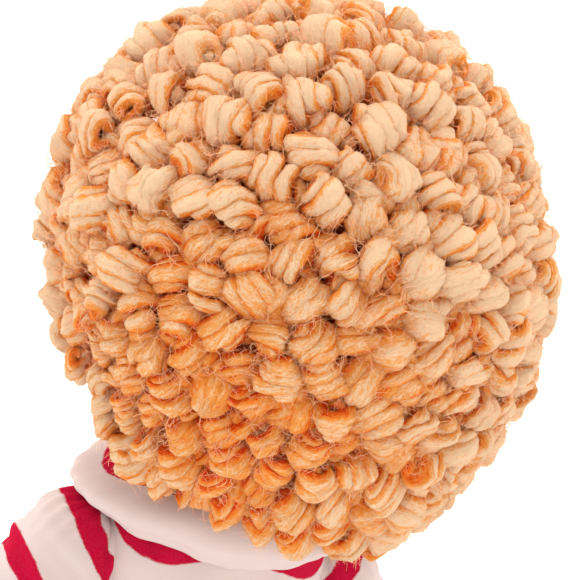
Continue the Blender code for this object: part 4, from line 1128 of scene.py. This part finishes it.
class DOLL_OT_wig(bpy.types.Operator):
    """Winds the yarn curls and sews them to the knitted backing"""

    bl_idname = "doll.wig"
    bl_label = "Wig"

    def execute(self, context):
        wig = context.scene.doll_wig
        random = np.random.default_rng(wig.seed)
        self.fit_backing()
        lots = [YarnLot() for _ in range(HAIR_ROWS + 1)]
        tree = cap_surface()
        naps = []
        for count, margin, long_gap, wide_gap, rounds, under in (
            (wig.curls, math.radians(3.2), wig.long_gap, wig.wide_gap, 110, False),
            (wig.under_curls, math.radians(4), 10.5 * MM, 10 * MM, 60, True),
        ):
            if not count:
                continue
            gaps = long_gap / HAIR_RADIUS, wide_gap / HAIR_RADIUS
            for place, axis in zip(*spread_curls(count, margin, *gaps, random, rounds)):
                self.sew_curl(lots, naps, wig, random, tree, place, axis, under)
        look = roving_yarn()
        for index, lot in enumerate(lots):
            if not lot.size:
                raise RuntimeError("no curls fall in hair row %d" % index)
            name = "row_%02d" % index if index else "crown"
            stands_for(lot.piece("curls_" + name, look), "head", "hair_yarn", "hair_" + name)
        self.tease_fibres(wig, random, naps)
        return {"FINISHED"}

    def fit_backing(self):
        """The knitted backing, drawn in where no curl covers it."""
        backing = softened("wig_cap", "wig_backing", wig_backing(), levels=0, voxel=0.9 * MM, smooth=3)
        for vertex in backing.data.vertices:
            away = (vertex.co - HEAD_MIDDLE).normalized()
            if not in_hair(np.array(away)[None], math.radians(3.4))[0]:
                vertex.co -= away * 3.6 * MM
        stands_for(backing, "head", "cap_knit", "wig_cap")

    def sew_curl(self, lots, naps, wig, random, tree, place, axis, under):
        """Winds one curl and sets it on the head."""
        in_tuft = max(place @ tuft for tuft in FELTED_TUFTS) > math.cos(TUFT_REACH)
        felted = random.random() < FELTED_SHARE or in_tuft
        turns = random.uniform(2.7, 4.3)
        pitch = wig.pitch * random.uniform(0.9, 1.1)
        coil = wig.coil * random.uniform(0.84, 1.14)
        yarn = wig.yarn * random.uniform(0.88, 1.12)
        if felted:
            turns, pitch, yarn = random.uniform(2.8, 3.8), pitch * 0.8, yarn * 1.15
        if under:
            turns, coil, yarn = random.uniform(2.0, 3.2), coil * 0.75, yarn * 0.9
        scalp = scalp_reach(tree, place)
        reach = float(hair_reach(place[None])[0])
        thin = min(max((reach - scalp) / HAIR_DEPTH, 0.6), 1)
        coil, yarn, pitch = coil * thin, yarn * thin**0.5, pitch * thin**0.5
        sunk = random.normal(0.6 * MM, 1.2 * MM)
        high = reach - coil * 0.94 - yarn * 0.86 - sunk
        # How near the curl lies to the side where the yarn has the most painted shade; under curls also lie
        # lower there.
        toward_painted_shade = math.exp(-float(1 - place @ PAINTED_SHADE_SIDE) / 0.5)
        if under:
            raised = random.uniform(0, 0.5) * toward_painted_shade + random.uniform(0.7, 1.05) * (1 - toward_painted_shade)
            high = scalp + coil + yarn * 0.4 + raised * max(reach - scalp - 10.5 * MM, 0)
        high = max(high, scalp + coil * 0.8)
        tilt = max(-0.42, min(random.normal(0, math.radians(19)), 0.42))
        points, strand, painted_groove_shade, inside, wound = wind_curl(random, turns, pitch, coil, yarn, high, felted)
        up = place * math.cos(tilt) - axis * math.sin(tilt)
        ahead = axis * math.cos(tilt) + place * math.sin(tilt)
        basis = np.stack([ahead, np.cross(up, ahead), up])
        away = points @ basis + place * high
        far = np.linalg.norm(away, axis=2)
        # height: how near each point lies to the hair's outer shape, lowered on the yarn's face turned into
        # the coil. It sets painted shade deeper in and painted light at the surface.
        height = np.clip(1 - (hair_reach(away / far[..., None]) - far) / HAIR_DEPTH, 0, 1) * inside
        # A random tone for each curl, plus painted shade toward the low back of the head and painted light,
        # paler, on the top and sides.
        tone_and_painted_shade = random.uniform(-0.8, 0.8) + 6.5 - 14 * toward_painted_shade
        shade = np.stack([height, painted_groove_shade, np.full(height.shape, tone_and_painted_shade)], axis=2)
        points = hung(away + np.array(HEAD_MIDDLE))
        lots[self.row_of(place)].add(points, strand, shade)
        if not under:
            self.raise_nap(naps, wig, random, points, wound @ basis, height)

    def row_of(self, place):
        turn = math.acos(max(-1, min(1, place[2])))
        return min(round(turn / (LAST_HAIR_TURN / (HAIR_ROWS + 0.5))), HAIR_ROWS)

    def raise_nap(self, naps, wig, random, points, ahead, height):
        """Short fibres that lie along the yarn and stand a little off it."""
        count, sides = points.shape[:2]
        i = random.integers(2, count - 2, wig.nap)
        j = random.integers(0, sides, wig.nap)
        kept = height[i, j] > random.uniform(0.2, 0.6, wig.nap)
        i, j = i[kept], j[kept]
        base = points[i, j]
        out = unit(base - points.mean(axis=1)[i])
        way = ahead[i] * random.choice([-1, 1], len(i))[:, None]
        way += out * random.uniform(0.05, 0.75, len(i))[:, None]
        way = unit(way + random.normal(0, 0.45, way.shape))
        curl = random.normal(0, 0.55, way.shape)
        length = (random.uniform(0.9, 2.0, len(i)) ** 2 * MM)[:, None, None]
        share = np.linspace(0, 1, 4)[None, :, None]
        bent = way[:, None] * share + curl[:, None] * share**2 * 0.5
        path = (base - out * 0.1 * MM)[:, None] + bent * length
        # Each fibre takes a painted shade from where it stands on the yarn: darker deeper in, paler at the
        # outside.
        naps.append((path, random.uniform(0.04, 0.06, len(i)) * MM, 0.3 + 0.65 * height[i, j]))

    def tease_fibres(self, wig, random, naps):
        """Single loose fibres: short ones that stand off the curls, and longer ones that fill the gaps."""
        look = loose_fibre()
        lots = []
        paths, thick, height = (np.concatenate(made) for made in zip(*naps))
        for part in parts_of(len(paths), 8000):
            lots.append(spin_fibres(paths[part], thick[part], height[part]))
        start = unit(random.normal(size=(wig.fibres * 4, 3)))
        place = start[in_hair(start, math.radians(5))][: wig.fibres]
        count, steps = len(place), 7
        heading = unit(np.cross(place, random.normal(size=place.shape)))
        length = random.uniform(3, 11, count) * MM
        depth = random.uniform(-0.6, 8.5, count) * MM
        path = np.zeros((count, steps, 3))
        for k in range(steps):
            reach = hair_reach(place) - depth + random.normal(0, 0.45 * MM, count)
            path[:, k] = np.array(HEAD_MIDDLE) + place * reach[:, None]
            bend = random.normal(0, 0.6, count)[:, None]
            heading = heading * np.cos(bend) + np.cross(place, heading) * np.sin(bend)
            place = unit(place + heading * (length / steps / reach)[:, None])
            heading = level_with(heading, place)
        # Painted shade: the deeper a fibre lies among the curls, the darker it is coloured.
        height = np.clip(0.85 - depth / (9 * MM), 0, 1)
        for part in parts_of(count, 5000):
            thick = random.uniform(0.04, 0.065, len(part)) * MM
            lots.append(spin_fibres(hung(path[part]), thick, height[part]))
        for index, (points, faces, shade) in enumerate(lots, 1):
            piece = new_piece("loose_fibres_%02d" % index, look, points, faces, values={"yarn_painted_shade": shade})
            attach(piece, "head")


class DOLL_OT_body(bpy.types.Operator):
    """Makes the stuffed torso, arms and legs"""

    bl_idname = "doll.body"
    bl_label = "Stuffed body"

    def execute(self, context):
        look = bpy.data.materials["cotton_plain_woven"]
        torso = softened("torso", "torso_bag", look, levels=0, voxel=1.8 * MM, smooth=3)
        self.finish_bag(torso, (0, 0, 0), (0, 0, 1), 36 * MM, "body", "torso", 0.8)
        for side_name, side in SIDES.items():
            self.stuff_arm(side_name, side, look)
            self.stuff_leg(side_name, side, look)
        return {"FINISHED"}

    def finish_bag(self, piece, start, along, radius, body, node, fill):
        wrap_cloth(piece, start, along, radius)
        stands_for(piece, body, "cotton_skin", node)

    def stuff_arm(self, side_name, side, look):
        start = PIVOTS["shoulder_%s_swing" % side_name]
        along, _, thick = arm_axes(side)
        arm = softened("arm_" + side_name, "arm_bag_" + side_name, look, levels=1, voxel=1.1 * MM, smooth=8)
        points = points_of(arm)
        reach = (points - np.array(start)) @ along
        edge = (points - np.array(start)) @ thick
        pucker = np.sin(reach / (0.55 * MM)) * bell(edge, 1.8 * MM)
        sewn = (0.1 * pucker - 0.35 * bell(edge, 0.5 * MM)) * smooth_step(reach, 66 * MM, 74 * MM)
        amount = (sewn + 0.22 * ripple(points, 16 * MM, 21 + side)) * MM
        # The shoulder is tucked in, so that it stays inside the sleeve when the arm swings
        amount -= 3.2 * MM * smooth_step(reach, 36 * MM, 17 * MM)
        swell_piece(arm, amount)
        self.finish_bag(arm, start, along, 12 * MM, side_name + "_arm", "arm_" + side_name, 0.85)

    def stuff_leg(self, side_name, side, look):
        start = PIVOTS["hip_%s_swing" % side_name]
        leg = softened("leg_" + side_name, "leg_bag_" + side_name, look, levels=2)
        points = points_of(leg)
        reach = (points - np.array(start)) @ leg_axis(side)
        amount = 0.15 * MM * (ripple(points, 15 * MM, 31 + side) - 1) * smooth_step(reach, -10 * MM, 10 * MM)
        # The hip is tucked in, so that it stays inside the trousers when the leg swings
        amount -= 2.6 * MM * smooth_step(reach, 34 * MM, 12 * MM)
        swell_piece(leg, amount)
        self.finish_bag(leg, start, leg_axis(side), 16 * MM, side_name + "_leg", "leg_" + side_name, 0.85)


class DOLL_OT_top(bpy.types.Operator):
    """Sews the striped jersey top: body, rolled collar, sleeves and ribbed cuffs"""

    bl_idname = "doll.top"
    bl_label = "Jersey top"

    def execute(self, context):
        clothes = context.scene.doll_clothes
        jersey = striped_jersey(clothes)
        rib = striped_jersey(clothes, "cotton_rib_red", plain=True)
        self.sew_body(clothes, jersey)
        self.sew_collar(jersey)
        for side_name, side in SIDES.items():
            self.sew_sleeve(clothes, side_name, side, jersey)
            self.sew_cuff(side_name, side, rib)
        return {"FINISHED"}

    def sew_body(self, clothes, look):
        """The body of the top, gathered at the shoulders, with its hem over the waistband."""
        hem, waist, flare, top = 52.1 * MM, 56.1 * MM, 16 * MM, 117 * MM

        def size(height):
            if height > YOKE[0][0]:
                return between(YOKE, height)
            width, depth = torso_size(height)
            out = (1.6 + 1.5 * min(max(1 - (height - waist) / flare, 0), 1)) * MM
            return width + out, depth + out

        heights = [*np.linspace(hem, 112 * MM, 86), *np.linspace(112.4 * MM, top, 14)]
        sides = 168
        angle = round_angles(sides)
        rows = oval_rows(heights, size, sides)
        levels = np.array(heights)[:, None]
        folds = (1 - np.cos(7 * (angle - math.pi / 2)))[None] * smooth_step(levels, waist + flare, hem) * MM
        soft = ripple(rows * np.array((1, 1, 2.6)), 36 * MM, 41)
        fine = ripple(rows * np.array((1, 1, 1.6)), 15 * MM, 42)
        slack = clothes.fold * (0.55 * soft + 0.3 * fine) * smooth_step(levels, hem, hem + 8 * MM)
        rows = hemmed(swell(rows, folds + slack + 0.25 * MM), JERSEY_WALL)
        walked = hemmed_levels(heights)
        rise = 5.5 * MM * smooth_step(np.array(walked), 80 * MM, 108 * MM)

        def cloth(i, j):
            turn = math.tau * j / sides
            return 33 * MM * turn, walked[i] - 112.5 * MM, -rise[i] * math.cos(2 * turn) ** 2

        piece = weave_rows("top_body_jersey", look, rows, cloth, loop=True)
        stands_for(piece, "body", "jersey", "top_body")
        self.sew_hem(rows[4])

    def sew_hem(self, line):
        """A row of small running stitches along a closed line of cloth."""
        look = sewing_thread("cotton_thread_cream", "D8C6BC", "F3E9E2")
        closed = np.vstack([line, line[:1]])
        walked = np.concatenate([[0], np.cumsum(np.linalg.norm(np.diff(closed, axis=0), axis=1))])
        places = np.linspace(0, walked[-1], round(walked[-1] / (3.4 * MM)) + 1)
        path = np.stack([np.interp(places, walked, closed[:, k]) for k in range(3)], axis=1)
        piece = stitches("top_hem_stitches", look, path, path - line.mean(0), 0.7 * MM, gap_share=0.35)
        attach(piece, "body")

    def sew_collar(self, look):
        """The rolled collar, a soft fold of jersey with a red stripe along its top."""
        sides, count = 150, 40
        middle, low, radius = 121.2 * MM, 6.6 * MM, 24 * MM
        angle, turn = round_angles(sides), round_angles(count) - math.pi
        aside = np.abs(np.cos(angle)) ** 1.5
        behind = np.clip(np.sin(angle), 0, 1) ** 2
        slump = 0.4 * MM * np.sin(2 * angle + 0.6) + 0.3 * MM * np.sin(5 * angle)
        rows = np.zeros((count, sides, 3))
        for i, t in enumerate(turn):
            out = radius + low * math.cos(t)
            bulge = aside * 3.6 * MM * max(math.cos(t + 0.6), 0) ** 1.5
            high = (8.6 - 5.2 * aside) * MM if t > 0 else (6.6 - 1.6 * aside + 2.4 * behind) * MM
            rows[i, :, 0] = (out + 7 * MM * (1 + math.cos(t)) / 2 + bulge) * np.cos(angle)
            rows[i, :, 1] = out * np.sin(angle)
            rows[i, :, 2] = middle - 1.6 * MM * aside + (high + slump) * math.sin(t)
        middles = [(radius + 3.5 * MM) * np.cos(angle), radius * np.sin(angle), np.full(sides, middle)]
        outward = unit(rows - np.stack(middles, axis=1)[None])
        soft = ripple(rows * np.array((1, 1, 0.5)), 15 * MM, 51)
        gather = np.sin(angle * 23 + 0.8 * np.sin(angle * 5))[None] * (0.4 + 0.6 * np.cos(turn)[:, None] ** 2)
        amount = (0.55 * soft + 0.28 * gather - 1.1 * bell(turn[:, None] + 0.78, 0.3)) * MM
        rows = self.rest_on_shoulders(rows + outward * amount[..., None])
        girth = 7.6 * MM
        crest = np.radians(88 + 58 * smooth_step(np.sin(angle), -0.1, 0.85))

        def cloth(i, j):
            away = turn[i] - crest[j % sides]
            shift = 9.5 * MM * math.tanh(0.8 * away) - girth * away
            return 27 * MM * math.tau * j / sides, girth * away, shift

        piece = weave_rows("collar_roll", look, rows, cloth, loop=True)
        stands_for(piece, "body", "jersey", "top_collar")

    def rest_on_shoulders(self, rows):
        """The collar's rows, lifted where the shoulders turn below it, so that it rests over them."""
        away = rows - np.array((0, 0, PIVOTS["shoulder_left_swing"].z))
        clear = 15.9 * MM * smooth_step(np.abs(rows[..., 0]), 19 * MM, 22 * MM)
        push = np.maximum(clear / np.hypot(away[..., 1], away[..., 2]), 1)
        rows[..., 1] = away[..., 1] * push
        rows[..., 2] = away[..., 2] * push + PIVOTS["shoulder_left_swing"].z
        return rows

    def sew_sleeve(self, clothes, side_name, side, look):
        """A set-in sleeve, gathered into the armhole and bunched above the cuff."""
        start = PIVOTS["shoulder_%s_swing" % side_name]
        axes = arm_axes(side)
        outer, end, sides = 14.6 * MM, 67 * MM, 132
        angle = round_angles(sides)
        turn = np.radians(20 + 70 * np.arange(26) / 26)
        straight = np.linspace(0, end, 84)
        reaches = np.concatenate([-outer * np.cos(turn), straight])
        shares = [between(SLEEVE_SHARES, reach / MM)[0] for reach in straight]
        radii = outer * np.concatenate([np.sin(turn), shares])
        rows = limb_rows(start, axes, reaches, radii, angle)
        local = limb_rows((0, 0, 0), UPRIGHT, 2.7 * reaches, radii, angle)
        soft, fine = ripple(local, 34 * MM, 61 + side), ripple(local, 15 * MM, 63 + side)
        down = reaches[:, None]
        held = 0.35 + 0.65 * smooth_step(down, end, 58 * MM)
        eased = 1 - 0.6 * smooth_step(down, 12 * MM, -4 * MM)
        slack = clothes.fold * (0.75 * soft + 0.4 * fine) * held * eased
        shoulder = bell(down + 2 * MM, 13 * MM) * (0.5 + 0.5 * np.sin(angle - 0.25))
        gathers = np.sin(angle * 17 + 1.3 * np.sin(angle * 3)) * bell(down + 9 * MM, 8 * MM)
        gathers = gathers * (0.5 + 0.5 * np.sin(angle))
        bunch = np.sin(down / (2.2 * MM)) * smooth_step(down, 44 * MM, 62 * MM)
        bunch = bunch * (1 + 0.6 * np.sin(3 * angle))
        seam = bell(np.abs(rows[..., 0]) - (abs(start.x) - 5.5 * MM), 0.9 * MM) * (down < 20 * MM)
        sewn = 0.2 * shoulder + 0.4 * gathers + 0.3 * bunch - 0.9 * seam + 0.15
        rows = hemmed_end(swell(rows, slack + sewn * MM), JERSEY_WALL)
        walked = hemmed_levels(reaches)

        def cloth(i, j):
            turn = math.tau * j / sides
            return 15.5 * MM * turn, walked[i] + 5 * MM, 6 * MM * math.sin(turn)

        poles = [np.array(start) - axes[0] * far for far in (outer, outer - JERSEY_WALL)]
        piece = weave_rows("sleeve_jersey_" + side_name, look, rows, cloth, start=poles[0], end=poles[1])
        stands_for(piece, None, "jersey", "sleeve_" + side_name)
        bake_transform(piece)

    def sew_cuff(self, side_name, side, look):
        """A ribbed cuff, knitted in raised columns."""
        start = PIVOTS["shoulder_%s_swing" % side_name]
        sides, ribs, count = 208, 26, 22
        angle = round_angles(sides)
        share = np.linspace(0, 1, count)
        reaches = np.linspace(66.2 * MM, 75.4 * MM, count)
        radii = (11.2 - 0.8 * share + 0.5 * np.sin(math.pi * share) ** 0.5) * MM
        rows = limb_rows(start, arm_axes(side), reaches, radii, angle)
        rows = hemmed(swell(rows, np.tile(0.32 * MM * np.cos(ribs * angle), (count, 1))), 1.5 * MM)
        cloth = straight_cloth(11 * MM, sides, hemmed_levels(reaches))
        piece = weave_rows("cuff_rib_" + side_name, look, rows, cloth, loop=True)
        stands_for(piece, side_name + "_arm", "rib_red", "cuff_" + side_name)


class DOLL_OT_trousers(bpy.types.Operator):
    """Sews the twill trousers: seat, waistband, legs and turn-ups"""

    bl_idname = "doll.trousers"
    bl_label = "Trousers"

    def execute(self, context):
        clothes = context.scene.doll_clothes
        look = trouser_twill(clothes)
        self.sew_seat(look)
        self.sew_band(look)
        for side_name, side in SIDES.items():
            self.sew_leg(clothes, side_name, side, look)
            self.sew_turn_up(side_name, side, look)
        return {"FINISHED"}

    def sew_seat(self, look):
        sides, wall = 132, 1.5 * MM
        angle = round_angles(sides)
        heights = [*np.linspace(0.0, 3 * MM, 8), *np.linspace(4 * MM, 46.8 * MM, 44)]

        def size(height):
            width, depth = torso_size(max(height, SEAT_BASE))
            edge = 1.8 * MM * math.sqrt(1 - max(1 - height / (1.8 * MM), 0) ** 2)
            return width + edge, depth + edge

        rows = oval_rows(heights, size, sides)
        levels = np.array(heights)[:, None]
        soft = ripple(rows * np.array((1, 1, 2.0)), 30 * MM, 71) * smooth_step(levels, 2 * MM, 10 * MM)
        from_seam = np.minimum(np.abs(angle - math.pi / 2), np.abs(angle - 3 * math.pi / 2))
        seam = bell(from_seam, 0.022) * smooth_step(levels, 0, 4 * MM)
        rows = swell(rows, 0.5 * MM * (soft - seam))
        rows[..., 2] = np.maximum(rows[..., 2], 0)
        underside = [rows[0] * np.array((share, share, 0)) for share in (0.25, 0.5, 0.75, 0.92)]
        rows = hemmed_end(np.concatenate([underside, rows]), wall)
        levels = hemmed_levels([-30 * MM, -20 * MM, -10 * MM, -3 * MM, *heights])
        cloth = straight_cloth(38 * MM, sides, levels)
        piece = weave_rows("trousers_seat_twill", look, rows, cloth, start=(0, 0, 0), end=(0, 0, wall))
        stands_for(piece, "body", "trouser_cotton", "trousers_seat")

    def sew_band(self, look):
        sides, count = 132, 14
        heights = np.linspace(47.1 * MM, 56.1 * MM, count)
        bulge = 0.35 * MM * np.sin(np.linspace(0, math.pi, count))

        def size(height):
            width, depth = torso_size(height)
            out = 1.5 * MM + float(np.interp(height, heights, bulge))
            return width + out, depth + out

        rows = hemmed(oval_rows(heights, size, sides), 1.2 * MM)
        cloth = straight_cloth(38 * MM, sides, hemmed_levels(heights))
        piece = weave_rows("trousers_waistband_twill", look, rows, cloth, loop=True)
        stands_for(piece, "body", "trouser_cotton", "trousers_waistband")

    def sew_leg(self, clothes, side_name, side, look):
        """A trouser leg, creased where it bends at the hip and the knee. It lies flat along its underside."""
        start, along = PIVOTS["hip_%s_swing" % side_name], leg_axis(side)
        piece = softened("trouser_leg_" + side_name, "trouser_leg_twill_" + side_name, look, levels=3)
        points = points_of(piece)
        away = points - np.array(start)
        reach = away @ along
        local = np.stack([away[:, 0], away[:, 2], 2.6 * reach], axis=1)
        soft = ripple(local, 32 * MM, 81 + side) * 0.6 + ripple(local, 15 * MM, 83 + side) * 0.35
        high = smooth_step(points[:, 2], 3 * MM, 14 * MM)
        held = smooth_step(reach, 92 * MM, 84 * MM) * smooth_step(reach, -14 * MM, -4 * MM)
        knee = bell(reach - 46 * MM, 9 * MM) * np.sin(reach / (1.9 * MM)) * 0.3
        # The inner face moves with the outer one, so that the cloth keeps its thickness
        radial = away - np.outer(np.maximum(reach, 0), along)
        faces_out = (radial * normals_of(piece)).sum(1) > 0
        swell_piece(piece, (clothes.fold * soft + knee * MM) * high * held * np.where(faces_out, 1, -1))
        wrap_cloth(piece, start, along, 20 * MM)
        stands_for(piece, None, "trouser_cotton", "trouser_leg_" + side_name)
        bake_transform(piece)

    def sew_turn_up(self, side_name, side, look):
        piece = softened("turn_up_" + side_name, "turn_up_twill_" + side_name, look, levels=3)
        wrap_cloth(piece, PIVOTS["hip_%s_swing" % side_name], leg_axis(side), 15 * MM)
        stands_for(piece, side_name + "_leg", "trouser_cotton", "turn_up_" + side_name)


class DOLL_OT_shoes(bpy.types.Operator):
    """Makes the felt shoes with their soles"""

    bl_idname = "doll.shoes"
    bl_label = "Felt shoes"

    def execute(self, context):
        upper = pressed_felt("wool_felt_red", "6E0A1C", "A01A30")
        under = pressed_felt("wool_felt_cream", "C8B8A6", "E4D8C8")
        for side_name in SIDES:
            body = side_name + "_leg"
            shoe, sole = "shoe_" + side_name, "shoe_sole_" + side_name
            stands_for(softened(shoe, "shoe_felt_" + side_name, upper, levels=2), body, "felt", shoe)
            piece = softened(sole, "sole_felt_" + side_name, under, levels=0, voxel=0.5 * MM, smooth=2)
            stands_for(piece, body, "sole_felt", sole)
        return {"FINISHED"}


class DOLL_OT_stage(bpy.types.Operator):
    """Lays the pale floor and sets the soft studio light and the camera"""

    bl_idname = "doll.stage"
    bl_label = "Stage"

    def execute(self, context):
        stage = context.scene.doll_stage
        scene = context.scene
        scene.view_settings.view_transform = "Standard"
        if stage.show_floor:
            self.lay_floor(stage)
        scene.world = scene.world or bpy.data.worlds.new("studio")
        scene.world.use_nodes = True
        background = scene.world.node_tree.nodes["Background"]
        background.inputs["Color"].default_value = (*linear("FFFCF8"), 1)
        background.inputs["Strength"].default_value = 1.18 * stage.light
        for name, where, strength in STUDIO_LIGHTS:
            self.hang_light(name, where, strength * stage.light)
        self.place_camera(stage)
        return {"FINISHED"}

    def lay_floor(self, stage):
        mesh = bmesh.new()
        bmesh.ops.create_grid(mesh, x_segments=24, y_segments=24, size=8)
        data = bpy.data.meshes.new("floor")
        mesh.to_mesh(data)
        mesh.free()
        data.materials.append(studio_paper(stage.floor))
        linked("floor", data)

    def hang_light(self, name, where, strength):
        """A wide soft light, even over the whole floor, from above and in front or one side."""
        light = bpy.data.lights.new(name, "SUN")
        light.angle = math.radians(60)
        light.energy = strength
        lamp = linked(name, light)
        lamp.location = where
        lamp.rotation_mode = "QUATERNION"
        lamp.rotation_quaternion = (-Vector(where)).to_track_quat("-Z", "Y")

    def place_camera(self, stage):
        """Looks at the back of the head from behind and a little to the left, as the photograph does."""
        level = math.cos(stage.elevation)
        x, y = math.sin(stage.azimuth) * level, -math.cos(stage.azimuth) * level
        back = Vector((x, y, math.sin(stage.elevation)))
        data = bpy.data.cameras.new("camera")
        data.sensor_width = 36
        data.lens = 36 * stage.distance / stage.across
        data.clip_start = 0.01
        turned = (-back).to_track_quat("-Z", "Y") @ Quaternion((0, 0, 1), stage.roll)
        # The middle of the hair lies a little to the right of the picture's middle and above it
        aside = turned @ Vector((-4, -18, 0)) * stage.across / 580
        camera = linked("camera", data)
        camera.rotation_mode = "QUATERNION"
        camera.rotation_quaternion = turned
        camera.location = HAIR_MIDDLE + aside + back * stage.distance
        bpy.context.scene.camera = camera


class DOLL_PT_panel(bpy.types.Panel):
    """Shows the doll's settings and the buttons for its steps in the sidebar"""

    bl_idname = "DOLL_PT_panel"
    bl_label = "Rag doll"
    bl_space_type = "VIEW_3D"
    bl_region_type = "UI"
    bl_category = "Rag doll"

    def draw(self, context):
        scene = context.scene
        for group in (scene.doll, scene.doll_wig, scene.doll_clothes, scene.doll_stage):
            box = self.layout.box()
            for key in group.__annotations__:
                box.prop(group, key)
        for made in OPERATORS:
            self.layout.operator(made.bl_idname)


OPERATORS = (
    DOLL_OT_head,
    DOLL_OT_face,
    DOLL_OT_wig,
    DOLL_OT_body,
    DOLL_OT_top,
    DOLL_OT_trousers,
    DOLL_OT_shoes,
    DOLL_OT_stage,
)
GROUPS = {
    "doll": DollSettings,
    "doll_wig": WigSettings,
    "doll_clothes": ClothesSettings,
    "doll_stage": StageSettings,
}


def register():
    for made in (*GROUPS.values(), *OPERATORS, DOLL_PT_panel):
        bpy.utils.register_class(made)
    for key, group in GROUPS.items():
        setattr(bpy.types.Scene, key, PointerProperty(type=group))


def unregister():
    for key in GROUPS:
        delattr(bpy.types.Scene, key)
    for made in reversed((*GROUPS.values(), *OPERATORS, DOLL_PT_panel)):
        bpy.utils.unregister_class(made)


def main():
    register()
    bpy.ops.doll.head()
    bpy.ops.doll.face()
    bpy.ops.doll.wig()
    bpy.ops.doll.body()
    bpy.ops.doll.top()
    bpy.ops.doll.trousers()
    bpy.ops.doll.shoes()
    bpy.ops.doll.stage()


if __name__ == "__main__":
    main()
